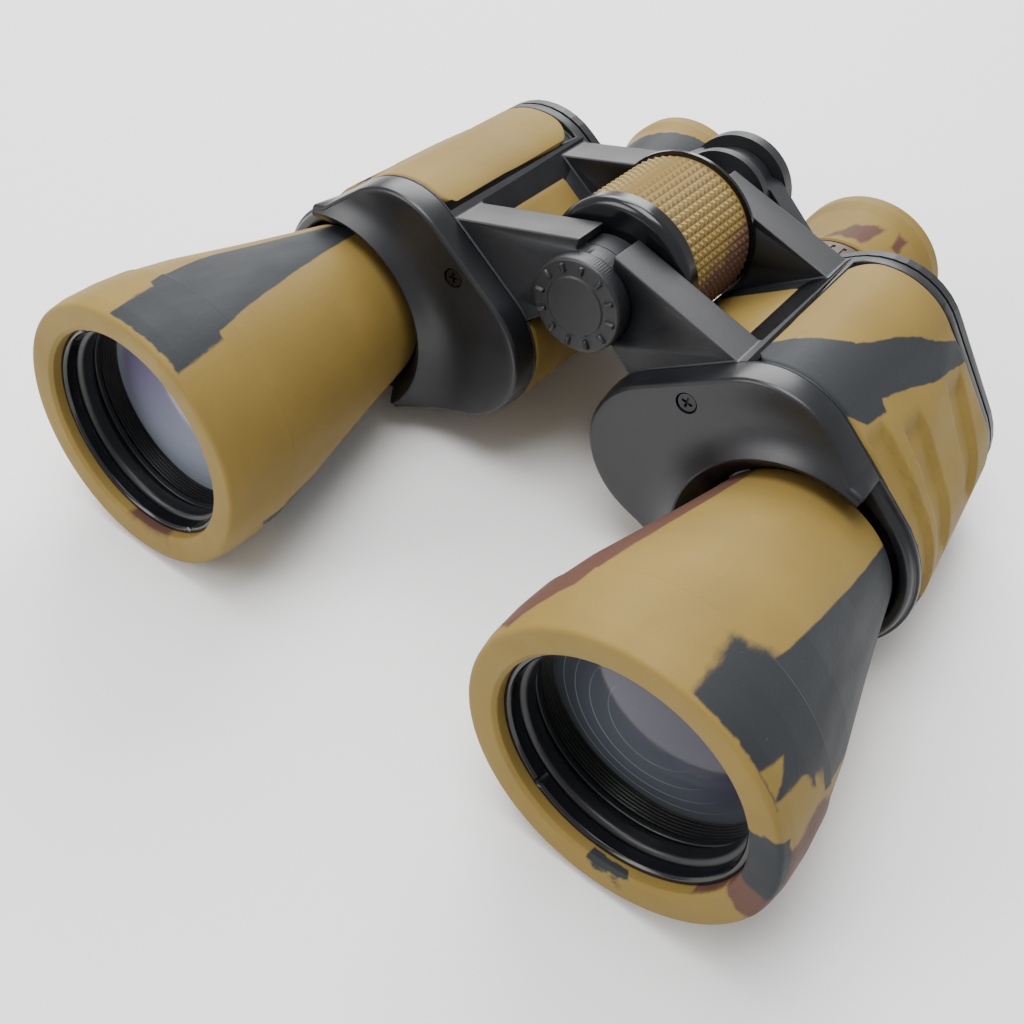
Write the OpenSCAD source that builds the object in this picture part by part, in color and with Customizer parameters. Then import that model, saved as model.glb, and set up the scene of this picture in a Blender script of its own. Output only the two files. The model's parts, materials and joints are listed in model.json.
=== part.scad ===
// Porro prism binoculars with centre focus, one full assembly of separate pieces.
// The hinge axis runs along Y: objectives face -Y, eyepieces face +Y, +Z is up.
// Pieces are drawn for the +X half and mirrored for the other one.

/* [Lengths along the hinge] */
// Front edge of the rubber lips
lip_y = -89.2; // [-110:0.1:-84]
// Front face of the prism housings
case_front_y = -13.5; // [-16:0.1:-11]
// Length of the prism housings
case_len = 55.5; // [53:0.1:70]
// Reach of the eyecups behind the housings
eye_reach = 48.8; // [44:0.1:60]

/* [Prisms and case] */
// Sideways step of the light path in one prism
prism_step = 23.8; // [20:0.1:28]
// Width of a prism across its faces
prism_w = 20; // [16:0.1:24]
// Room between a prism corner and the case wall
prism_gap = 0.45; // [0.3:0.05:1.5]
// Slope of the upper inner side of a case in degrees
case_tilt = 34.6; // [30:0.1:38]
// Case wall
wall = 1.9; // [1.5:0.1:3]
// Rubber on the case
case_rubber_t = 1.5; // [1:0.1:3]
// Case radius round the objective axis at the front
obj_case_r = 25.2; // [24.6:0.1:32]
// Case radius round the objective axis at the rear
obj_case_rear_r = 20.6; // [20:0.1:26]
// Front cover height ahead of the case
cover_front_h = 6.5; // [6:0.1:9]
// Rear cover thickness
cover_rear_h = 4; // [3:0.1:6]
// Height of the collar round the barrel neck
collar_h = 3.8; // [2:0.1:6]
// Prism shelf plate thickness
shelf_t = 2; // [1.5:0.1:4]
// Where the shelf starts behind the case front
shelf_in = 26.5; // [26:0.1:32]

/* [Barrels] */
// Objective lens radius
lens_r = 22.6; // [18:0.1:24]
// Step of the lens cell outside the lens
cell_t = 2.6; // [2:0.1:4]
// Barrel tube wall
barrel_wall = 3; // [2:0.1:4]
// Rubber on the hood
hood_rubber_t = 4; // [3:0.1:6]
// Length of the straight hood
hood_len = 14; // [8:0.1:16]
// Length of the rounded lip ahead of the hood
lip_len = 4.2; // [3:0.1:6]
// Barrel radius where it enters the front cover
neck_r = 20.9; // [19.5:0.1:21.5]
// Barrel spigot held in the front cover
spigot_r = 17.6; // [16:0.1:18.5]

/* [Hinge] */
// Hinge knuckle radius
knuckle_r = 11; // [10:0.1:13]
// Hinge shaft radius
shaft_r = 4; // [3:0.1:5]
// Shaft shoulder radius in the front knuckles
shoulder_r = 5; // [4.6:0.1:6]
// How far the front ends of the knuckles stand proud of their arms
knuckle_proud = 0.2; // [0.1:0.1:0.5]
// Gap between the two arm ends on top of the hinge
arm_gap = 9; // [8:0.1:12]
// Arm top height over the hinge axis
arm_top = 14.2; // [13:0.1:17]
// Arm top drop per millimetre of width
arm_slope = 0.3; // [0.25:0.01:0.34]
// Front arm thickness along the hinge
arm_front_t = 10; // [9:0.1:12]
// Rear arm thickness along the hinge
arm_rear_t = 10.5; // [9:0.1:12]
// Socket cap radius
cap_r = 11.2; // [10.5:0.1:13]
// Socket cap height
cap_h = 5; // [4:0.1:8]
// Tapping radius of the quarter inch tripod thread
socket_r = 2.6; // [2.5:0.05:2.8]
// Length of the tripod thread
socket_len = 7.5; // [6:0.1:9]

/* [Focus] */
// Focus wheel flange radius
wheel_r = 18.4; // [15.5:0.1:22.5]
// Wheel length from flange to rear rim
wheel_len = 31.2; // [26:0.1:34]
// Rubber grip on the wheel
grip_t = 1.8; // [1.2:0.1:3]
// Focus screw outer radius
screw_r = 6.4; // [5.8:0.05:7]
// Hub radius of the eyepiece bridge
hub_r = 13.5; // [12.5:0.1:15]
// Hub length along the hinge
hub_len = 12.4; // [11.5:0.1:15]

/* [Eyepieces] */
// Sliding eyepiece tube radius
tube_r = 11.8; // [9.8:0.05:12.1]
// Eyepiece tube wall
tube_wall = 1.6; // [1.2:0.1:2.2]
// Guide wall round the tube
guide_wall = 1.5; // [1:0.1:1.6]
// Collar radius on the eyepiece
collar_r = 16.8; // [15.5:0.1:19]
// Eyecup rim radius
eyecup_r = 20; // [18:0.1:22]
// Rubber wall of the eyecup
eyecup_wall = 1.6; // [1.2:0.1:2.5]

/* [Fits] */
// Radial running clearance of turning and sliding fits
run = 0.05; // [0.02:0.01:0.1]
// Open gap between pieces that pass without touching
gap = 0.3; // [0.3:0.05:0.5]
// Cement gap between lens elements
cement = 0.05; // [0.03:0.01:0.1]

/* [Hidden] */
$fn = 96;
cut = 1;
far = 80;
lens_fn = 720;
lens_ball_r = 120;
lens_seat_t = 9.6;
hull_fn = 40;
case_rear_y = case_front_y + case_len;
eyecup_rear_y = case_rear_y + eye_reach;
inset = case_rubber_t + wall;
case_r = norm([prism_step / 2, prism_w / 2]) + prism_gap + inset;
wheel_rim_r = wheel_r + 0.3;
wheel_room = 0.6;
eye_dist = wheel_rim_r + wheel_room + case_r;
// Eyepiece axis direction from the hinge, so that the upper case side clears the wheel
eye_drop = case_tilt + 6.8;
EYE = eye_dist * [cos(eye_drop), -sin(eye_drop)];
U = [cos(case_tilt), sin(case_tilt)];
V = [sin(case_tilt), -cos(case_tilt)];
MID = EYE + prism_step * U;
OBJ = MID + prism_step * V;
cell_r = lens_r + cell_t;
opening_r = cell_r + 0.1;
tube_front_r = cell_r + barrel_wall;
hood_r = tube_front_r + hood_rubber_t;
hood_front_y = lip_y + lip_len;
hood_rear_y = hood_front_y + hood_len;
cover_y = case_front_y - cover_front_h;
neck_y = cover_y + 2.2;
cone_front_r = hood_r - 0.4;
cone_drop = (cone_front_r - neck_r) / (neck_y - hood_rear_y);
cone_rubber_t = 1.8;
cone_wall = 2;
cell_front_y = hood_front_y + 1.2;
lens_y = hood_front_y + 15;
hinge_z = hood_r - OBJ[1];
mid_y = (lip_y + eyecup_rear_y) / 2;
arm_front_y = case_front_y;
arm_rear_y = case_rear_y - 2 - arm_rear_t;
knuckle_split = 4.3;
knuckle_gap = 0.2;
boss_r = cap_r - 1.7;
cap_front_y = arm_front_y - knuckle_gap - cap_h;
boss_y = cap_front_y + 1.5;
shoulder_y = arm_front_y + arm_front_t;
washer_t = 1.35;
wheel_y = shoulder_y + washer_t + 0.15;
flange_t = 4.7;
rim_t = 1;
wheel_rear_y = wheel_y + wheel_len;
drum_r = wheel_r - 0.2 - grip_t;
nut_r = screw_r + 2.6;
nut_len = 11.5;
focus_in = 2;
hub_rear_y = case_rear_y + cover_rear_h + 13;
hub_y = hub_rear_y - hub_len;
rear_ear_t = 3.4;
front_ear_t = 2.4;
hub_inner_r = 10.6;
arm_y = case_rear_y + cover_rear_h + focus_in + 1.2;
ring_y = arm_y + 0.2;
ring_end_y = ring_y + 6.6;
tube_front_y = case_front_y + 37.5;
collar_y = ring_end_y + 2.5;
diopter_travel = 1.2;
diopter_len = 7.5;
spigot_end_y = collar_y + gap + diopter_len + 2;
cell_shoulder_y = spigot_end_y + diopter_travel + gap;
eyecup_y = collar_y + gap + diopter_len + diopter_travel + gap;
eye_spigot_r = tube_r + 1;
eye_bore_r = 11 - (11.8 - tube_r);
eye_lens_y = cell_shoulder_y + 1.8;
eye_spigot_end_y = eyecup_rear_y - 10.8;
shelf_y = case_front_y + shelf_in;
prism_trim = 0.9;
clip_t = 0.7;
clip_w = 6;
screw_hole_r = 1.25;
screw_head_r = 2.1;
screw_boss_r = 2.8;
screw_depth = 8;
armor_y0 = case_front_y + 0.7;
armor_y1 = case_rear_y - 3.5;
strip_u0 = -6.2;
strip_u1 = prism_step + 1.2;
notch_deg = -36;
saddle_deg = 152;

// ---- helpers ----

// Moves the hinge frame up so that the lips stand on z = 0 and the length is centred
module placed() translate([0, -mid_y, hinge_z]) children();
module left() mirror([1, 0, 0]) children();
module rod(y0, y1, r) translate([0, y0, 0]) rotate([-90, 0, 0]) cylinder(h = y1 - y0, r = r);
module cone(y0, r0, y1, r1)
  translate([0, y0, 0]) rotate([-90, 0, 0]) cylinder(h = y1 - y0, r1 = r0, r2 = r1);
module tube(y0, y1, r_out, r_in) {
  difference() {
    rod(y0, y1, r_out);
    rod(y0 - cut, y1 + cut, r_in);
  }
}
// Turned shape from a profile of [radius, y] points
module turned(points) rotate([-90, 0, 0]) rotate_extrude() polygon(points);
module slab(y0, y1) translate([0, y1, 0]) rotate([90, 0, 0]) linear_extrude(y1 - y0) children();
module at_eye() translate([EYE[0], 0, EYE[1]]) children();
module at_obj() translate([OBJ[0], 0, OBJ[1]]) children();
// Prism frame: X along the front prism, -Z along the rear one, origin on the eyepiece axis
module prism_frame() translate([EYE[0], 0, EYE[1]]) rotate([0, -case_tilt, 0]) children();
module at_uv(p) translate([p[0], 0, -p[1]]) children();

function mix(a, b, t) = a + (b - a) * t;
function obj_r(y) = mix(obj_case_r, obj_case_rear_r, (y - case_front_y) / case_len);
function barrel_r(y) = cone_front_r - cone_drop * (y - hood_rear_y);
function arm_z(x) = arm_top - arm_slope * x;

// Case outline: three round corners joined by flat sides, shrunk by d
module case_shape(y0, y1, d) {
  prism_frame() hull() {
    rod(y0, y1, case_r - d, $fn = hull_fn);
    at_uv([prism_step, 0]) rod(y0, y1, case_r - d, $fn = hull_fn);
    at_uv([prism_step, prism_step]) cone(y0, obj_r(y0) - d, y1, obj_r(y1) - d, $fn = hull_fn);
  }
}

// The side strip between the arms that the rubber leaves bare
module strip_box(y0, y1)
  prism_frame() translate([strip_u0, y0, 8]) cube([strip_u1 - strip_u0, y1 - y0, far]);

// ---- hinge halves ----

arm_outline = [
  [arm_gap / 2, 0],
  [arm_gap / 2, arm_z(arm_gap / 2)],
  [MID[0] - 9, arm_z(MID[0] - 9)],
  EYE + (prism_step - 2) * U - (case_r - 5) * V,
  EYE - (case_r - 5) * V,
  EYE - 5 * U - (case_r - 4) * V,
  [knuckle_r - 2.4, -knuckle_r + 2.2],
  [arm_gap / 2, -knuckle_r / 2]
];

// One arm with its knuckle from k0 to k1, clear of the other half's knuckle
module hinge_arm(y0, y1, k0, k1, other0, other1, bore_r) {
  difference() {
    union() {
      slab(y0 + knuckle_proud, y1) polygon(arm_outline);
      rod(k0, k1, knuckle_r);
    }
    rod(other0, other1, knuckle_r + gap);
    rod(y0 - cut, y1 + cut, bore_r);
  }
}

front_split = arm_front_y + knuckle_split;
rear_split = arm_rear_y + arm_rear_t - 5.2;

module fixed_arms() {
  hinge_arm(arm_front_y, shoulder_y, arm_front_y, front_split - knuckle_gap,
    front_split - knuckle_gap, shoulder_y + cut, shoulder_r);
  hinge_arm(arm_rear_y, arm_rear_y + arm_rear_t, rear_split, arm_rear_y + arm_rear_t,
    arm_rear_y - cut, rear_split, screw_r + run);
  tube(boss_y, arm_front_y, boss_r, shoulder_r);
}

module turning_arms() {
  hinge_arm(arm_front_y, shoulder_y, front_split, shoulder_y,
    arm_front_y - cut, front_split, shoulder_r + run);
  hinge_arm(arm_rear_y, arm_rear_y + arm_rear_t, arm_rear_y, rear_split - knuckle_gap,
    rear_split - knuckle_gap, arm_rear_y + arm_rear_t + cut, screw_r + run);
}

screw_pos = [prism_step / 2, -(case_r - inset - 2)];
rear_screw_pos = [
  screw_pos,
  [prism_step, 0] + (case_r - inset - 2) * [cos(10), -sin(10)],
  [prism_step, prism_step] + (obj_case_rear_r - inset - 2) * [cos(118), sin(118)]
];

module case_body() {
  difference() {
    union() {
      case_shape(case_front_y, case_rear_y - 0.6, 0);
      children();
    }
    difference() {
      case_shape(armor_y0, armor_y1, -1);
      strip_box(armor_y0, armor_y1);
      case_shape(armor_y0 - cut, armor_y1 + cut, case_rubber_t);
    }
    case_shape(case_front_y - cut, case_rear_y + cut, inset);
  }
}

// Boss with a screw hole, open at y_open
module screw_boss(p, y0, y1) {
  prism_frame() at_uv(p) difference() {
    rod(y0, y1, screw_boss_r);
    rod(y0 - cut, y1 + cut, screw_hole_r);
  }
}

module housing_bosses() {
  intersection() {
    union() {
      screw_boss(screw_pos, case_front_y, case_front_y + screw_depth);
      for (p = rear_screw_pos) screw_boss(p, case_rear_y - 0.6 - screw_depth, case_rear_y - 0.6);
    }
    case_shape(case_front_y, case_rear_y - 0.6, case_rubber_t + 0.4);
  }
}

module left_housing() {
  color("dimgray") placed() left() {
    case_body() fixed_arms();
    housing_bosses();
  }
}

module right_housing() {
  color("dimgray") placed() {
    case_body() turning_arms();
    housing_bosses();
  }
}

module body_armor() {
  color("darkkhaki") difference() {
    case_shape(armor_y0, armor_y1, 0);
    strip_box(armor_y0 - cut, armor_y1 + cut);
    case_shape(armor_y0 - cut, armor_y1 + cut, case_rubber_t);
  }
}

// Sector about the objective axis that the raised saddle takes up
module saddle_sector(y0, y1) {
  prism_frame() at_uv([prism_step, prism_step]) slab(y0, y1)
    polygon(concat([[0, 0]],
      [for (i = [0 : 4]) let (a = notch_deg - saddle_deg * i / 4) far * [cos(a), -sin(a)]]));
}

module front_cover() {
  plate_y = case_front_y - 2.5;
  edge = 1.9;
  color("dimgray") difference() {
    union() {
      case_shape(plate_y, case_front_y, 0);
      intersection() {
        prism_frame() hull() {
          for (p = [[0, 0], [prism_step, 0]]) {
            at_uv(p) cone(cover_y, case_r - edge, plate_y + 0.5, case_r, $fn = hull_fn);
          }
          at_uv([prism_step, prism_step])
            cone(cover_y, obj_case_r - edge, plate_y + 0.5, obj_case_r, $fn = hull_fn);
        }
        saddle_sector(cover_y - cut, plate_y + 0.5);
      }
      intersection() {
        at_obj() cone(cover_y - collar_h, obj_case_r + 1.6, plate_y + 0.6, obj_case_r + 12.9);
        case_shape(cover_y - collar_h - cut, plate_y + 0.4, 0.06);
        saddle_sector(cover_y - collar_h - cut, plate_y + 0.5);
      }
    }
    at_obj() {
      cone(cover_y - collar_h - cut, neck_r + 4.6, neck_y - 1.2, neck_r + 0.6);
      rod(neck_y - 1.3, neck_y, neck_r + 0.6);
      rod(cover_y - far, case_front_y + cut, spigot_r);
    }
    difference() {
      case_shape(cover_y + wall, case_front_y + cut, wall + 1);
      at_obj() rod(cover_y - far, case_front_y + far, neck_r + 2.6);
      prism_frame() at_uv(screw_pos) rod(cover_y, case_front_y, screw_boss_r);
    }
    prism_frame() at_uv(screw_pos) {
      rod(cover_y - cut, case_front_y + cut, screw_hole_r);
      rod(cover_y - cut, cover_y + 1.8, screw_head_r + 0.3);
    }
  }
}

module rear_cover() {
  rim_y = case_rear_y + cover_rear_h;
  color("dimgray") difference() {
    union() {
      case_shape(case_rear_y, rim_y - 1.4, 0);
      case_shape(case_rear_y - 0.6, case_rear_y, 1.2);
      prism_frame() hull() {
        for (p = [[0, 0], [prism_step, 0]]) {
          at_uv(p) cone(rim_y - 1.4, case_r, rim_y, case_r - 1.4, $fn = hull_fn);
        }
        at_uv([prism_step, prism_step])
          cone(rim_y - 1.4, obj_r(rim_y - 1.4), rim_y, obj_r(rim_y) - 1.4, $fn = hull_fn);
      }
    }
    at_eye() rod(case_rear_y - far, rim_y + cut, tube_r + run + guide_wall);
    case_shape(case_rear_y - cut, case_rear_y + 1.2, inset + 3);
    prism_frame() for (p = rear_screw_pos) at_uv(p) {
      rod(case_rear_y - cut, rim_y + cut, screw_hole_r);
      rod(rim_y - 1.6, rim_y + cut, screw_head_r + 0.3);
    }
  }
}

// Pan head screw from its head face at y0, pointing along dir
module cross_screw(y0, dir, len) {
  translate([0, y0, 0]) rotate([dir > 0 ? 0 : 180, 0, 0]) difference() {
    union() {
      rod(0, 1.5, screw_head_r);
      rod(1.4, len, screw_hole_r - run);
    }
    for (a = [45, 135]) rotate([0, a, 0]) translate([-1.3, -cut, -0.3]) cube([2.6, cut + 0.7, 0.6]);
  }
}

module front_screw() {
  color("black") prism_frame() at_uv(screw_pos)
    cross_screw(cover_y + 0.3, 1, cover_front_h + screw_depth - 1);
}

module rear_screws() {
  color("black") prism_frame() for (p = rear_screw_pos) at_uv(p)
    cross_screw(case_rear_y + cover_rear_h - 0.1, -1, cover_rear_h + screw_depth - 1);
}

// ---- prisms ----

module prism_profile(y0, dir) {
  s = prism_step;
  tip = y0 + dir * (s - prism_trim);
  polygon([[-s / 2, y0], [1.5 * s, y0], [s / 2 + prism_trim, tip], [s / 2 - prism_trim, tip]]);
}

module front_prism() {
  color("lightblue") prism_frame() linear_extrude(prism_w, center = true)
    prism_profile(shelf_y, -1);
}

module rear_prism() {
  color("lightblue") prism_frame() translate([prism_step, 0, 0]) rotate([0, 90, 0])
    linear_extrude(prism_w, center = true) prism_profile(shelf_y + shelf_t, 1);
}

module prism_shelf() {
  color("silver") difference() {
    case_shape(shelf_y, shelf_y + shelf_t, inset);
    prism_frame() for (p = [[0, 0], [prism_step, 0], [prism_step, prism_step]]) {
      at_uv(p) rod(shelf_y - cut, shelf_y + shelf_t + cut, prism_w / 2 - 0.8);
    }
  }
}

// Spring strap over a prism tip: a bar and two legs down to the shelf
module prism_strap(y0, dir) {
  tip = y0 + dir * (prism_step - prism_trim);
  span = prism_w + 0.3 + 2 * clip_t;
  y_low = min(tip, tip + dir * clip_t);
  translate([-clip_w / 2, y_low, -span / 2]) cube([clip_w, clip_t, span]);
  for (side = [0, 1]) mirror([0, 0, side])
    translate([-clip_w / 2, min(y0, tip + dir * clip_t), span / 2 - clip_t])
      cube([clip_w, abs(tip + dir * clip_t - y0), clip_t]);
}

module prism_clips() {
  color("silver") prism_frame() {
    translate([prism_step / 2, 0, 0]) prism_strap(shelf_y, -1);
    translate([prism_step, 0, -prism_step / 2]) rotate([0, 90, 0])
      prism_strap(shelf_y + shelf_t, 1);
  }
}

// ---- objective barrels ----

// Radius of the tube's outside at y, under the rubber
function tube_out(y) = barrel_r(y) - cone_rubber_t;
cone_start_y = hood_rear_y + (cone_front_r - cone_rubber_t - tube_front_r) / cone_drop;
tube_front_y0 = hood_front_y + 0.9;

module barrel() {
  color("black") at_obj() turned([
    [cell_r, tube_front_y0],
    [tube_front_r, tube_front_y0],
    [tube_front_r, cone_start_y],
    [tube_out(neck_y), neck_y],
    [spigot_r, neck_y],
    [spigot_r, case_front_y + 1.5],
    [spigot_r - cone_wall, case_front_y + 1.5],
    [spigot_r - cone_wall, neck_y - 1.5],
    [tube_out(neck_y - 4) - cone_wall, neck_y - 4],
    [tube_front_r - cone_wall, cone_start_y],
    [cell_r, cone_start_y - 1.5]
  ]);
}

module barrel_armor() {
  color("darkkhaki") at_obj() difference() {
    turned([
      [opening_r, lip_y + 1.6],
      [opening_r + 1.6, lip_y + 0.5],
      [hood_r - 3.4, lip_y],
      [hood_r - 1.5, lip_y + 0.5],
      [hood_r - 0.4, lip_y + 1.7],
      [hood_r, hood_front_y],
      [hood_r, hood_rear_y],
      [cone_front_r, hood_rear_y + 0.6],
      [neck_r, neck_y],
      [tube_out(neck_y), neck_y],
      [tube_front_r, cone_start_y],
      [tube_front_r, tube_front_y0],
      [opening_r, tube_front_y0]
    ]);
    rod(lip_y - cut, tube_front_y0 + cut, opening_r);
  }
}

// Lens cell: a ring with light stopping steps ahead of the glass
module lens_cell() {
  steps = 6;
  front_r = cell_r - 1.2;
  color("black") at_obj() turned(concat(
    [[cell_r, cell_front_y + 2.6], [cell_r, lens_y + 12], [lens_r - 2.2, lens_y + 12],
     [lens_r - 2.2, lens_y + lens_seat_t], [lens_r, lens_y + lens_seat_t], [lens_r, lens_y]],
    [for (i = [steps - 1 : -1 : 0]) each let (
      t = i / steps,
      y = mix(cell_front_y + 3.4, lens_y, t),
      r = mix(front_r, lens_r - 1.2, t),
      dy = (lens_y - cell_front_y - 3.4) / steps)
      [[r - 0.5, y + dy], [r, y + dy * 0.35], [r, y]]],
    [[front_r, cell_front_y + 2.6]]));
}

module retaining_ring() {
  color("black") at_obj() difference() {
    tube(cell_front_y, cell_front_y + 2.6, cell_r, cell_r - 1.7);
    for (a = [35, 215]) rotate([0, a, 0])
      translate([cell_r - 2.2, cell_front_y - cut, -0.8]) cube([1.2, cut + 1.2, 1.6]);
  }
}

// Lens between two round faces of radius ball_r, bulging at both ends
module lens(y0, t, r, front_ball_r, rear_ball_r) {
  translate([0, y0, 0]) rotate([-90, 0, 0]) rotate_extrude() intersection() {
    square([r, t]);
    translate([0, front_ball_r]) circle(front_ball_r, $fn = lens_fn);
    translate([0, t - rear_ball_r]) circle(rear_ball_r, $fn = lens_fn);
  }
}

crown_t = 6;
flint_rim = 1.6;

module objective_crown() {
  color("lightblue") at_obj() lens(lens_y, crown_t, lens_r, lens_ball_r, lens_ball_r);
}

// Hollow front face follows the crown's rear face, a cement gap behind it
module objective_flint() {
  flint_t = lens_seat_t - crown_t + flint_rim;
  color("lightblue") at_obj() translate([0, lens_y + crown_t - flint_rim, 0])
    rotate([-90, 0, 0]) rotate_extrude() difference() {
      square([lens_r, flint_t]);
      translate([0, flint_rim - lens_ball_r]) circle(lens_ball_r + cement, $fn = lens_fn);
    }
}

// ---- hinge and focus ----

module hinge_shaft() {
  color("silver") placed() difference() {
    union() {
      rod(boss_y, shoulder_y - 0.1, shoulder_r);
      rod(shoulder_y - 0.2, hub_y + 4, shaft_r);
    }
    rod(boss_y - cut, boss_y + socket_len + 0.2, socket_r + 1);
  }
}

module socket_insert() {
  color("goldenrod") placed() tube(boss_y, boss_y + socket_len, socket_r + 1, socket_r);
}

module socket_cap() {
  tick_r = cap_r - 2.4;
  face_y = cap_front_y + 0.4;
  color("dimgray") placed() {
    difference() {
      union() {
        cone(face_y, cap_r - 1, face_y + 1, cap_r);
        rod(face_y + 1, arm_front_y - knuckle_gap, cap_r);
        rod(face_y - 0.15, face_y + 0.5, cap_r * 0.6);
      }
      rod(boss_y - gap, arm_front_y, boss_r + run);
    }
    for (i = [0 : 11]) rotate([0, 30 * i, 0])
      translate([tick_r - 1.4, cap_front_y, -0.3]) cube([2.8, 0.6, 0.6]);
  }
}

module thrust_washer() {
  color("silver") placed()
    tube(shoulder_y + 0.05, shoulder_y + washer_t, shaft_r + 5, shaft_r + run);
}

module wheel_core() {
  round_r = flange_t * 0.45;
  nut_y = wheel_rear_y - rim_t - nut_len;
  color("dimgray") placed() difference() {
    union() {
      rod(wheel_y, wheel_y + flange_t, wheel_r - round_r);
      translate([0, wheel_y + round_r, 0]) rotate([-90, 0, 0]) rotate_extrude()
        translate([wheel_r - round_r, 0]) circle(round_r, $fn = 48);
      rod(wheel_y + round_r, wheel_y + flange_t, wheel_r);
      rod(wheel_y + flange_t - 0.1, wheel_rear_y - rim_t, drum_r);
    }
    rod(wheel_y - cut, wheel_y + 2 * flange_t, shaft_r + run);
    rod(wheel_y + flange_t, nut_y + cut, screw_r + 0.6);
    rod(nut_y, wheel_rear_y + cut, nut_r);
  }
}

module wheel_nut() {
  color("goldenrod") placed()
    tube(wheel_rear_y - rim_t - nut_len, wheel_rear_y - rim_t, nut_r, screw_r + run);
}

module wheel_grip() {
  color("darkkhaki") placed()
    tube(wheel_y + flange_t, wheel_rear_y - rim_t, wheel_r - 0.2, drum_r);
}

module wheel_rear_rim() {
  color("black") placed()
    tube(wheel_rear_y - rim_t, wheel_rear_y - 0.1, wheel_rim_r, screw_r + 1);
}

screw_front_y = wheel_y + flange_t + focus_in + 1.2;

module focus_screw() {
  color("silver") placed() tube(screw_front_y, hub_rear_y - 1.8, screw_r, shaft_r + run);
}

bridge_u = [cos(eye_drop), -sin(eye_drop)];
bridge_n = [sin(eye_drop), cos(eye_drop)];

module bridge_arm(y0, y1) {
  difference() {
    slab(y0, y1) polygon([
      9 * bridge_n,
      12.4 * bridge_n + 4 * bridge_u,
      EYE + 13.6 * bridge_n,
      EYE - 12 * bridge_n,
      11 * bridge_u - 5 * bridge_n,
      -4 * bridge_n
    ]);
    at_eye() rod(y0 - cut, y1 + cut, tube_r);
  }
}

module bridge_ring() at_eye() tube(ring_y, ring_end_y, collar_r - 1.2, tube_r);

inner_y = hub_y + front_ear_t + gap;
inner_end_y = hub_rear_y - rear_ear_t - gap;

module bridge_left() {
  color("dimgray") placed() left() {
    difference() {
      union() {
        rod(hub_y, hub_y + front_ear_t, hub_r - 1);
        rod(hub_rear_y - rear_ear_t, hub_rear_y, hub_r);
        difference() {
          union() {
            bridge_arm(arm_y, ring_end_y);
            slab(hub_y, hub_rear_y - 2) polygon([
              12 * bridge_n + 5 * bridge_u, 12 * bridge_n + 18 * bridge_u,
              18 * bridge_u - 4 * bridge_n, 8 * bridge_u - 4 * bridge_n
            ]);
          }
          rod(hub_y + front_ear_t, hub_rear_y - rear_ear_t, hub_inner_r + gap);
        }
      }
      rod(hub_y - cut, hub_rear_y + cut, screw_r);
      rod(hub_rear_y - 1.8, hub_rear_y + cut, screw_r + 1.6);
    }
    bridge_ring();
  }
}

module bridge_right() {
  color("dimgray") placed() {
    difference() {
      union() {
        rod(inner_y, inner_end_y, hub_inner_r);
        bridge_arm(arm_y + 0.2, inner_end_y);
      }
      rod(inner_y - cut, inner_end_y + cut, screw_r + run);
    }
    bridge_ring();
  }
}

module hub_cap() {
  color("black") placed() {
    rod(hub_rear_y - 1.8, hub_rear_y - 0.3, screw_r + 1.6);
    rod(hub_rear_y - 0.4, hub_rear_y + 0.4, screw_r + 0.4);
  }
}

// ---- eyepieces ----

module eyepiece_guide() {
  cover_rear = case_rear_y + cover_rear_h;
  color("black") at_eye() difference() {
    union() {
      rod(tube_front_y - 2, cover_rear, tube_r + run + guide_wall);
      rod(cover_rear, cover_rear + 0.6, tube_r + run + guide_wall + 1.2);
    }
    rod(tube_front_y - far, cover_rear + far, tube_r + run);
  }
}

module fixed_eyepiece_tube() {
  color("black") at_eye() turned([
    [tube_r - tube_wall, tube_front_y], [tube_r, tube_front_y],
    [tube_r, ring_end_y], [collar_r - 0.8, ring_end_y],
    [collar_r - 0.8, eyecup_y], [eye_spigot_r, eyecup_y],
    [eye_spigot_r, eye_spigot_end_y], [eye_bore_r, eye_spigot_end_y],
    [eye_bore_r, eye_lens_y], [tube_r - tube_wall, eye_lens_y]
  ]);
}

module turning_eyepiece_tube() {
  color("black") at_eye() turned([
    [tube_r - tube_wall, tube_front_y], [tube_r, tube_front_y],
    [tube_r, ring_end_y], [collar_r - 1.2, ring_end_y],
    [collar_r - 1.2, collar_y], [eye_spigot_r - 0.4, collar_y],
    [eye_spigot_r - 0.4, spigot_end_y], [tube_r - tube_wall, spigot_end_y]
  ]);
}

module diopter_ring() {
  ring_r = collar_r - 0.4;
  color("saddlebrown") placed() at_eye() difference() {
    rod(collar_y + gap, collar_y + gap + diopter_len, collar_r);
    rod(collar_y, collar_y + 2 * diopter_len, eye_spigot_r - 0.4 + run);
    for (i = [0 : 35]) rotate([0, 10 * i, 0])
      translate([ring_r, collar_y + gap + 1.5, -0.5]) cube([2, diopter_len - 3, 1]);
  }
}

module diopter_cell() {
  sleeve_r = tube_r - tube_wall - run;
  color("black") placed() at_eye() turned([
    [sleeve_r - 1.3, cell_shoulder_y - 24], [sleeve_r, cell_shoulder_y - 24],
    [sleeve_r, cell_shoulder_y], [eye_spigot_r, cell_shoulder_y],
    [eye_spigot_r, eye_spigot_end_y], [eye_bore_r, eye_spigot_end_y],
    [eye_bore_r, eye_lens_y], [sleeve_r - 1.3, eye_lens_y]
  ]);
}

module field_lens() {
  color("lightblue") at_eye()
    lens(tube_front_y + 6, 5, tube_r - tube_wall, 28, 400);
}

module eye_lens() {
  color("lightblue") at_eye() lens(eye_lens_y, 6, eye_bore_r, 34, 30);
}

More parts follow.
